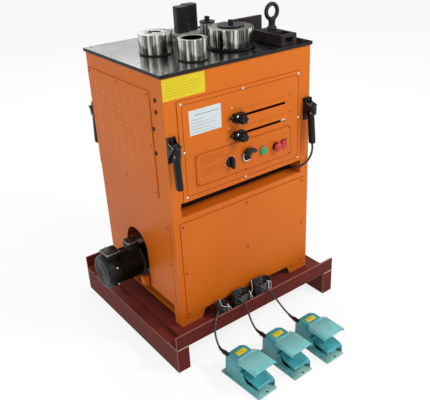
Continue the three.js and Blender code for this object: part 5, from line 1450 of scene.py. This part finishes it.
# %% Rocker
frames = [rounded(ROCKER_X - u, ROCKER_X + u, SWITCH_Z - v, SWITCH_Z + v, corner)
          for u, v, corner in ((12.5, 15.5, 2), (8.7, 12.6, 1))]
surround = outline_ring("rocker_surround", *frames, "Y", PLATE_FACE - 3, PLATE_FACE + 0.2)
dress(soften(surround, 0.6, 2), finish="dark_red_plastic")
# Painted shade: a dark-red sheet inside the frame, round the tilted rocker.
dress(slab("rocker_well", "dark_red_plastic", frames[1], "Y", PLATE_FACE - 0.15, PLATE_FACE + 0.2))
TILTED = ((2.6, -12), (2.6, 12), (3.1, 12), (3.7, 5), (4.3, 0), (6.2, -5), (7, -12))
rocker = slab("rocker_moulded", "stop_red", [(PLATE_FACE - y, SWITCH_Z + z) for y, z in TILTED], "X",
              ROCKER_X - 8, ROCKER_X + 8, 0.5)
stand_in(rocker, "rocker_switch")
print("plate face", round(PLATE_FACE, 1), "switches at", SWITCH_Z)

# %% [markdown]
# ## Carry handles
# Each handle is a lever on a bolt through two ears. A short flat arm under the bolt carries the
# moulded grip, which is thicker, slightly flattened and leans a little outwards. The four are
# the same piece, mirrored, so one loop draws them from each node's own place. The latch on the
# bracket, the toe under it and a painted highlight along the ear's slanted edge stay with the
# cabinet.

# %% Lever, grip, bolts and latch
PIVOT_OUT, PIVOT_Z, GRIP_START, GRIP_END, GRIP_OUT, GRIP_LEAN = 22, 811.2, 775, 669.4, 26, 0.085
ARM = [(9, 818), (15, 821), (30, 817.5), (44, 813), (45, 808), (45, 782), (43, 778), (37, 774), (14, 771),
       (9, 780)]
GRIP = [(8.6, 9.6, GRIP_START), (10, 10.8, 770), (10.4, 11.2, 764), (10.6, 11.4, 735), (10.8, 11.4, 700),
        (11, 11.6, 678), (10.6, 11.2, 672), (8.8, 9.4, GRIP_END)]


def squircle(u, v, half_u, half_v, steps=24, power=0.62):
    """A loop between an ellipse and a box."""
    return [(u + half_u * math.copysign(abs(c) ** power, c), v + half_v * math.copysign(abs(s) ** power, s))
            for c, s in circle(1, steps)]


def lofted(name, loops):
    """A closed skin through loops of as many places, each at its own height."""
    return skin(name, [[(u, v, z) for u, v in loop] for loop, z in loops])


def carry_handle(name, out):
    """Drawn from the cabinet's face outwards; out is -1 for the front pair and 1 for the rear."""
    node = f"carry_handle_{name}"
    middle = (edges(node)[0][0] + edges(node)[1][0]) / 2
    x = middle + math.copysign(HANDLE_ASIDE, middle)
    face = out * -SHEET_FACE
    y = face + out * PIVOT_OUT
    grip = [(squircle(x, face + out * (GRIP_OUT + (GRIP_START - z) * GRIP_LEAN), half_x, half_y), z)
            for half_x, half_y, z in GRIP]
    parts = [lathe("hub", "black_steel", [(0, -9.2), (10, -9.2), (11, -8.2), (11, 8.2), (10, 9.2), (0, 9.2)],
                   (x, y, PIVOT_Z), "X", 36),
             slab("arm", "black_steel", [(face + out * d, z) for d, z in ARM], "X", x - 9, x + 9, 1.6),
             paint(lofted("grip", grip), "black_plastic")]
    heads = []
    for label, side, axis in (("left", -1, "-X"), ("right", 1, "X")):
        parts.append(lathe("rivet", "zinc_steel", [(0, -1), (2.8, -1), (2.8, 0.3), (2, 0.9), (0, 1.1)],
                           (x + side * 9, face + out * 33, 784), axis, 16))
        heads.append(lathe(f"hinge_bolt_{name}_{label}", "tool_black",
                           [(0, -1), (6.6, -1), (6.6, 1.6), (5.6, 2.4), (2.4, 2.8), (0, 2.8)],
                           (x + side * 15, y - out * 6, PIVOT_Z), axis, 28))
    dress(shade(joined(f"handle_{name}_built", *parts), 45), node, replaces=[node])
    for head in heads:
        dress(shade(head, 50))
    latch = lathe(f"latch_{name}", "tool_black",
                  [(0, -16), (7.4, -16), (7.4, -1), (6.4, 0.4), (4.6, 0.4), (3.8, -1.4), (0, -1.8)],
                  (x, face + out * 7.5, BRACKET_TOP), "Z", 28)
    dress(shade(latch))
    toe = [(face, 771), (face + out * 5.5, 771), (face + out * 3.4, 752), (face, 752)]
    dress(slab(f"toe_{name}", "black_steel", toe, "X", x - 15, x + 15, 1.2))
    # Painted highlight: a thin bright steel line along the ear's slanted edge.
    edge = [(x - 15.6, face + out * 16, 822.4), (x - 15.6, face + out * 41, 814.6)]
    dress(shade(tube(f"worn_edge_{name}", edge, 0.8, 8), 50), finish="zinc_steel")


for name, out in {"front_left": -1, "front_right": -1, "back_left": 1, "back_right": 1}.items():
    carry_handle(name, out)

# %% [markdown]
# ## Gear motor
# The motor's drum is a tube with thin fins on its middle part, a pressed fan cowl at the free
# end and a flange at the gearbox. The fins are one blade, spread round the axis by the same
# tree as the screws. Two terminal boxes sit on top, and their lids carry a painted highlight
# along the edges: the Bevel modifier can give its own faces a second finish, and that finish is
# the painted highlight.

# %% Drum, fins and cowl
MOTOR_Y, MOTOR_Z = 8, 292.9
COWL_X0, COWL_X1 = -466.5, -418.5
COWL = [(0, 1.5), (16, 1.5), (18, 0), (22, 0), (24, 1.5), (30, 1.5), (32, 0), (36, 0), (38, 1.5), (44, 1.5),
        (46, 0), (52, 0), (59, 1.4), (62, 5), (63, 9), (63, 46), (61.5, 48), (0, 48)]
DRUM = [(0, 0), (55, 0), (55, 8), (53, 10), (53, 92), (58, 94), (60, 96), (60, 102), (50, 103), (50, 129.8),
        (0, 130)]
FIN = shape_of(soften(prism("fin", [(-39, -2), (39, -2), (39, 6.2), (36, 7), (-36, 7), (-39, 6.2)], "Y",
                            -0.9, 0.9), 0.4, 1))
FIN_COUNT, FIN_GAP, FIN_SEAT, FIN_X = 44, 34, 53, 51


def around_motor(x, reach, degrees, spin):
    """A place on the drum that faces straight out, at this angle round the motor's axis."""
    v, w = math.cos(math.radians(degrees)), math.sin(math.radians(degrees))
    return (COWL_X1 + x, MOTOR_Y + reach * v, MOTOR_Z + reach * w), (0, v, w), spin, 1


fin_turns = [360 * (i + 0.5) / FIN_COUNT for i in range(FIN_COUNT)]
fins = [around_motor(FIN_X, FIN_SEAT, turn, 0) for turn in fin_turns if abs(turn - 90) >= FIN_GAP]
cowl_bolts = [around_motor(-12, 62.8, turn, 20) for turn in (30, 150, 215, 325)]
motor_parts = [lathe("cowl", "motor_paint", COWL, (COWL_X0, MOTOR_Y, MOTOR_Z), "X", 72),
               lathe("drum", "motor_paint", DRUM, (COWL_X1 + 0.2, MOTOR_Y, MOTOR_Z), "X", 72),
               spread("fins", FIN, fins, "motor_paint"),
               spread("cowl_bolts", SCREW, cowl_bolts, "zinc_steel", 0.75)]


# %% Terminal boxes
BOX_LID = 5


def highlit_box(x0, x1, y0, y1, z0, z1):
    """A box with a cable gland and a lid, the lid's edges in bright steel as a painted highlight."""
    case = slab("case", "motor_paint", rounded(x0 + 1.5, x1 - 1.5, y0 + 1.5, y1 - 1.5, 3), "Z", z0,
                z1 - BOX_LID, 0.8)
    cover = slab("lid", "motor_paint", rounded(x0, x1, y0, y1, 3.5), "Z", z1 - BOX_LID + 0.3, z1, 1.3)
    # The bevel's own faces on the lid take bright steel: a painted highlight along its edges.
    cover.data.materials.append(FINISH["worn_steel"])
    cover.modifiers["round"].material = 1
    gland = lathe("gland", "black_plastic",
                  [(0, -6), (8, -6), (8, 3), (9.5, 3), (9.5, 9), (6, 10), (6, 14), (0, 14)],
                  ((x0 + x1) / 2, y1 - 1, (z0 + z1 - BOX_LID) / 2), "Y", 6)
    return [case, cover, gland]


TOP_LID, SIDE_LID = 369.9, 380
motor_parts += highlit_box(-453.9, -399, -22, 38, 349, TOP_LID)
motor_parts += highlit_box(-364.5, -316.8, -16, 32, 340, SIDE_LID)
for x0, x1, y0, y1, top, width in ((-448, -404, -18, 34, 350, 1.2), (-360, -322, -12, 28, 341, 0.8)):
    motor_parts.append(soften(strip("seat", "motor_paint", x0, x1, y0, y1, "Z", 336.2, top), width))
lid_spots = ([(x, y, TOP_LID) for x in (-449, -404) for y in (-17, 33)]
             + [(x, y, SIDE_LID) for x in (-360, -321.5) for y in (-11, 27)])
lid_screws = [(spot, UPWARD, 15 * i, 1) for i, spot in enumerate(lid_spots)]
motor_parts.append(spread("lid_screws", SCREW, lid_screws, "worn_steel", 0.45))
stand_in(shade(joined("gear_motor_built", *motor_parts)), "gear_motor")

# %% Small tab beside the motor, on the cabinet's side
dress(slab("motor_tab", "orange_paint", [(-328, 232), (-305, 232), (-305, 184), (-312, 184), (-328, 198)],
           "Y", -36, -14, 1.5))

# %% [markdown]
# ## Foot switches
# A foot switch is drawn once, in millimetres from its own front middle, and set down three
# times, each turned as it stands in the picture. The cast body is a skin through octagons that
# shrink towards the top. Hood and treadle are bent sheet: a grid of places follows the bend,
# and where the lip has a half-round notch, that column of the grid stops early.

# %% Body, hood and cheeks
def octagon(half_x, y0, y1, cut_front, cut_back):
    return [(half_x, y0 + cut_front), (half_x, y1 - cut_back), (half_x - cut_back, y1),
            (cut_back - half_x, y1),
            (-half_x, y1 - cut_back), (-half_x, y0 + cut_front), (cut_front - half_x, y0),
            (half_x - cut_front, y0)]


def foot_base():
    return [
        slab("plate", "base_teal", rounded(-42.5, 42.5, 0, 192, 4), "Z", 0.1, 5, 1.0),
        lathe("hole", "black_plastic", [(0, 3), (3.6, 3), (3.6, 5.15), (0, 5.15)], (3, 8, 0), sides=20),
        paint(soften(lofted("body", [
            (octagon(37.6, 91, 189, 3, 17), 5), (octagon(37.4, 91, 188, 3, 16), 8),
            (octagon(36.8, 92, 186.5, 3, 16), 66), (octagon(35.8, 93, 160, 3, 15), 100),
            (octagon(33.5, 95, 157, 3, 13), 103)]), 2.2, 3, 25), "teal_paint"),
        slab("neck", "hood_teal", [(88, 98), (101, 98), (104, 111.6), (88, 111.6)], "X", -38, 38, 2),
        slab("tag", "yellow_foil", rounded(-20, 20, 119, 139, 2), "Z", 102, 103.8, 0.5),
        slab("tag_line", "dull_yellow", rounded(-10, 10, 127, 131, 0.5), "Z", 103.5, 104.0),
        lathe("nut", "black_plastic", [(0, 160), (8, 160), (8, 188), (7, 192), (0, 192)],
              (NUT_PLACE.x, 0, NUT_PLACE.z), "Y", 6),
        slab("core", "black_plastic", rounded(-24, 24, 56, 90.5, 3), "Z", 4.5, 26, 1)]


def foot_hood():
    outside = [(-47.4, 99.2), *arc((-38.4, 103), 9, 180, 90, 8), *arc((38.4, 103), 9, 90, 0, 8), (47.4, 99.2)]
    inside = [(44.6, 99.2), *arc((38.4, 103), 6.2, 0, 90, 6), *arc((-38.4, 103), 6.2, 90, 180, 6),
              (-44.6, 99.2)]
    return [slab("hood", "hood_teal", outside + inside, "Y", 8.2, 93, 0.7),
            soften(strip("brow", "hood_teal", 8.2, 11, 105.6, 111.8, "X", -40, 40), 0.6)]


CHEEK = [(10, 4.8), (94, 4.8), (94, 46), (93, 60), *arc((84, 57), 9.5, 25, 150, 8), (73, 52), (66, 38),
         (60, 35), (16, 35), (10, 30)]


def foot_cheeks():
    parts = []
    for side, axis in ((-1, "-X"), (1, "X")):
        parts += [slab("cheek", "teal_paint", CHEEK, "X", *sorted((side * 39.6, side * 42.3)), 0.5),
                  lathe("pin", "zinc_steel", [(0, -4), (4.6, -4), (4.6, 1.2), (3.4, 2.2), (0, 2.4)],
                        (side * 40, 84, 55), axis, 24)]
        parts += [lathe("screw", "black_plastic", [(0, -4), (3.4, -4), (3.4, 0.4), (2.6, 0.7), (2.2, -0.2),
                                                   (0, -0.2)], (side * 42, y, z), axis, 20)
                  for y, z in ((78, 24), (30, 14), (88, 12))]
    return parts


# %% Treadle
TREADLE_THICK, NOTCH_RADIUS, NOTCHES, BEND_PARTS = 2.6, 8, (-25, 14), 40
BEND = [(88, 60.6), *((y, 60.6 - (88 - y) * 0.187) for y in range(80, 12, -8)),
        *arc((13.6, 39.9), 6.6, 98, 195, 8), (8.2, 34), (9.6, 28.4)]


def bend_to(cut):
    """The bend from the hinge forward, over the front edge and down, less a cut, in equal parts."""
    lengths = [0]
    for a, b in zip(BEND, BEND[1:]):
        lengths.append(lengths[-1] + math.dist(a, b))
    spots = []
    for want in ((lengths[-1] - cut) * i / BEND_PARTS for i in range(BEND_PARTS + 1)):
        k = max(n for n in range(len(BEND) - 1) if lengths[n] <= want + 1e-9)
        t = (want - lengths[k]) / (lengths[k + 1] - lengths[k])
        spots.append(tuple(p + (q - p) * t for p, q in zip(BEND[k], BEND[k + 1])))
    return spots


def treadle_column(x):
    """The upper side of the bent sheet at this X, then its lower side backwards."""
    cut = max(math.sqrt(max(NOTCH_RADIUS ** 2 - (x - n) ** 2, 0)) * 1.5 for n in NOTCHES)
    lower = bend_to(cut)
    upper = []
    for (y, z), before, after in zip(lower, [lower[0], *lower], [*lower[1:], lower[-1]]):
        lean = math.atan2(after[1] - before[1], after[0] - before[0])
        upper.append((x, y - TREADLE_THICK * math.sin(lean), z + TREADLE_THICK * math.cos(lean)))
    return [(x, y, z) for y, z in lower] + upper[::-1]


def bent_sheet(columns):
    """A skin over columns that run out on one side and back on the other; strips close its ends."""
    count, last = len(columns[0]), len(columns) - 1
    faces = [(i * count + k, (i + 1) * count + k, (i + 1) * count + n, i * count + n)
             for i in range(last) for k, n in zip(range(count), (*range(1, count), 0))]
    faces += [(a + i, a + i + 1, a + count - 2 - i, a + count - 1 - i)
              for a in (0, last * count) for i in range(count // 2 - 1)]
    return mesh_piece("sheet", [p for column in columns for p in column], faces)


def treadle():
    notch_sides = [n + NOTCH_RADIUS * math.cos(math.radians(a)) * side for n in NOTCHES
                   for a in (3, 25, 45, 65, 90) for side in (-1, 1)]
    columns = [treadle_column(x) for x in sorted({-35.4, 35.4, *range(-34, 35, 4), *notch_sides})]
    parts = [paint(shade(bent_sheet(columns), 50), "teal_paint"),
             lathe("hinge", "teal_paint", [(0, -36.5), (6.4, -36.5), (6.4, 36.5), (0, 36.5)],
                   (0, 84, 55), "X", 32)]
    flange = [(14, 45.5), (86, 59.4), (88, 50), (80, 46), (40, 38), (20, 34), (12, 38)]
    return parts + [slab("flange", "teal_paint", flange, "X", *sorted((side * 35.3, side * 33.1)), 0.6)
                    for side in (-1, 1)]


# %% Setting them down
FOOT_PIECES = {"foot_switch_housing": (lambda: foot_base() + foot_hood() + foot_cheeks(), 40),
               "foot_pedal": (treadle, 45)}
for name, (x, y, turn) in STANDS.items():
    set_down = (Matrix.Translation(place(x, y, 0)) @ Matrix.Rotation(math.radians(turn), 4, "Z")
                @ Matrix.Translation(-MIDDLE))
    for kind, (drawn, angle) in FOOT_PIECES.items():
        piece = shade(joined(f"{kind}_{name}_built", *drawn()), angle)
        piece.data.transform(set_down)
        stand_in(piece, f"{kind}_{name}")

# %% [markdown]
# ## Pieces that keep their CAD shape
# What is left keeps its solid and takes a finish. A mesh from CAD is loose triangles, so a
# small stack of modifiers first welds them, then clears the flat ones away, and then breaks
# the sharp edges, because every real edge has a tiny round that catches the light. Only the
# deck is changed: it is drawn a little wider, so that no gap shows beside the runners.

# %% Finish on the solids
DECK_REACH, DECK_SPREAD = 321, 339
deck = copy_of("skid_deck")
for corner in deck.data.vertices:
    across = (corner.co.x - MIDDLE.x) / MM
    if abs(abs(across) - DECK_REACH) < 0.5:
        corner.co.x = MIDDLE.x + math.copysign(DECK_SPREAD, across) * MM
stand_in(soften(deck, 0.8), "skid_deck", "red_oxide_paint")

DRIVE_BLACK = ("gearbox_housing", "cutter_drive_case", "spindle_bearing")
EDGE_ROUND, HIGHLIGHT_ROUND = 0.8, 1.1
kept = {name: piece for name, piece in frame["nodes"].items() if not piece.hide_render}
for name, piece in kept.items():
    paint(piece, "motor_paint" if name in DRIVE_BLACK else SLOT_OF[name])
    piece.modifiers.new("weld", "WELD").merge_threshold = 0.00001
    flat = piece.modifiers.new("flat", "DECIMATE")
    flat.decimate_type, flat.angle_limit = "DISSOLVE", math.radians(0.5)
    # On the skid's runners and cross members the bevel's faces take a pale maroon: a painted highlight along
    # their edges.
    if name.startswith(("skid_runner", "cross_member")):
        piece.data.materials.append(FINISH["worn_maroon"])
        bevelled(piece, HIGHLIGHT_ROUND).material = 1
    else:
        bevelled(piece, EDGE_ROUND)
print("solids kept", len(kept))

# %% [markdown]
# ## Welds on the skid
# A weld bead is a row of ripples. A tube whose radius swings along its route gives them, and
# the two at the front were never painted.

# %% Weld beads
BEAD_RADIUS, BEAD_SIDES, BEAD_Z, BEAD_LENGTH = 2.6, 10, 97, 44
BEADS = {"front": (-320, "bare_weld"), "rear": (362 - BEAD_RADIUS, "red_oxide_paint")}
ripples = [BEAD_RADIUS * (0.8 + 0.2 * math.cos(math.pi / 2 * i)) for i in range(BEAD_LENGTH + 1)]
for end, (y, finish) in BEADS.items():
    for side, low in {"left": -378, "right": 334}.items():
        route = [(low + i, y, BEAD_Z) for i in range(BEAD_LENGTH + 1)]
        dress(shade(tube(f"bead_{end}_{side}", route, ripples, BEAD_SIDES), 50), finish=finish)
print("bead ripples", BEAD_LENGTH // 4)

# %% [markdown]
# ## Floor, light and air
# The floor is one pale sheet. Where the camera, a mirror-like part or a clear part looks at it,
# the sheet itself glows close to white, so the background stays white without adding
# light to the machine; Mix Shader keeps enough of its own diffuse surface for a soft shadow.

# %% Floor
def seen_by(where):
    """1 where a camera ray, a mirrored ray or one through a clear part looks, else 0."""
    kinds = ("Is Camera Ray", "Is Glossy Ray", "Is Transmission Ray")
    camera, mirrored, through = (where.node("ShaderNodeLightPath", out=kind) for kind in kinds)
    return camera + mirrored + through


def floor_finish():
    material, where = begin("floor")
    plain = where.node("ShaderNodeBsdfDiffuse", None, {"Color": (0.86, 0.86, 0.85, 1)})
    glow = where.node("ShaderNodeEmission", None, {"Color": (1, 1, 1, 1), "Strength": 1.06})
    mixed = where.node("ShaderNodeMixShader", None, {0: seen_by(where) * 0.78, 1: plain, 2: glow})
    where.node("ShaderNodeOutputMaterial", None, {0: mixed}, None)
    return material


def sheet(name, corners, finish):
    """A flat sheet of four corners, in metres, for the studio round the machine."""
    mesh = bpy.data.meshes.new(name)
    mesh.from_pydata([tuple(corner) for corner in corners], [], [(0, 1, 2, 3)])
    mesh.materials.append(finish)
    made = link(name, mesh)
    return made


FLOOR_REACH, FLOOR_Z = 30, -0.0005
AROUND = ((-1, -1), (1, -1), (1, 1), (-1, 1))
sheet("floor", [(x * FLOOR_REACH, y * FLOOR_REACH, FLOOR_Z) for x, y in AROUND], floor_finish())

# %% [markdown]
# A photographer lights a machine like this with large soft boxes: one high in front, one at the
# side that the camera also sees, and a weak one behind for the edges. The air round it adds
# the rest. Colours come out about as they are written when the sum of it all is close to one.

# %% Lamps
LAMPS = {"key_box": ((2.0, -3.0, 3.6), 0.6, 0.9, 0.9, 104),
         "front_box": ((-0.6, -3.4, 2.6), 0.6, 2.0, 1.4, 16),
         "side_box": ((-3.4, -0.8, 2.4), 0.6, 1.6, 1.6, 26),
         "rear_box": ((1.6, 3.2, 2.8), 0.7, 2.0, 1.4, 40)}
for name, (position, aim_height, width, height, power) in LAMPS.items():
    lamp = bpy.data.lights.new(name, "AREA")
    lamp.shape = "RECTANGLE"
    lamp.size, lamp.size_y, lamp.energy = width, height, power
    aim = (Vector((0, 0, aim_height)) - Vector(position)).to_track_quat("-Z", "Y").to_matrix().to_4x4()
    link(name, lamp).matrix_world = Matrix.Translation(position) @ aim
print("lamps", len(LAMPS))

AIR_LEVEL = 0.52
world = bpy.data.worlds.new("studio_air")
bpy.context.scene.world = world
world.use_nodes = True
world.node_tree.nodes.clear()
air = Value(world.node_tree)
dim = air.node("ShaderNodeBackground", None, {0: (1, 1, 1, 1), 1: AIR_LEVEL})
white = air.node("ShaderNodeBackground", None, {0: (1, 1, 1, 1), 1: 1.0})
both = air.node("ShaderNodeMixShader", None, {0: seen_by(air), 1: dim, 2: white})
air.node("ShaderNodeOutputWorld", None, {0: both}, None)
bpy.context.scene.view_settings.view_transform = "Standard"

# %% [markdown]
# Polished black steel in a white room looks grey, so the photographer stands a large black
# card behind the machine, out of the picture. Only mirror rays can see this one: the table
# shows it, and its left end still shows the white room.

# %% Black card
CARD_AWAY, CARD_LEFT, CARD_RIGHT, CARD_FOOT, CARD_TOP = 3.4, -0.62, 2.6, 1.0, 4.6
ahead = Vector((math.sin(CAMERA_YAW), math.cos(CAMERA_YAW), 0))
beside = Vector((ahead.y, -ahead.x, 0))
card = sheet("black_card", [MIDDLE + ahead * CARD_AWAY + beside * across + Vector((0, 0, height))
                            for across, height in ((CARD_LEFT, CARD_FOOT), (CARD_RIGHT, CARD_FOOT),
                                                   (CARD_RIGHT, CARD_TOP), (CARD_LEFT, CARD_TOP))],
             FINISH["card_black"])
card.visible_camera = card.visible_diffuse = card.visible_shadow = False
card.visible_transmission = card.visible_volume_scatter = False
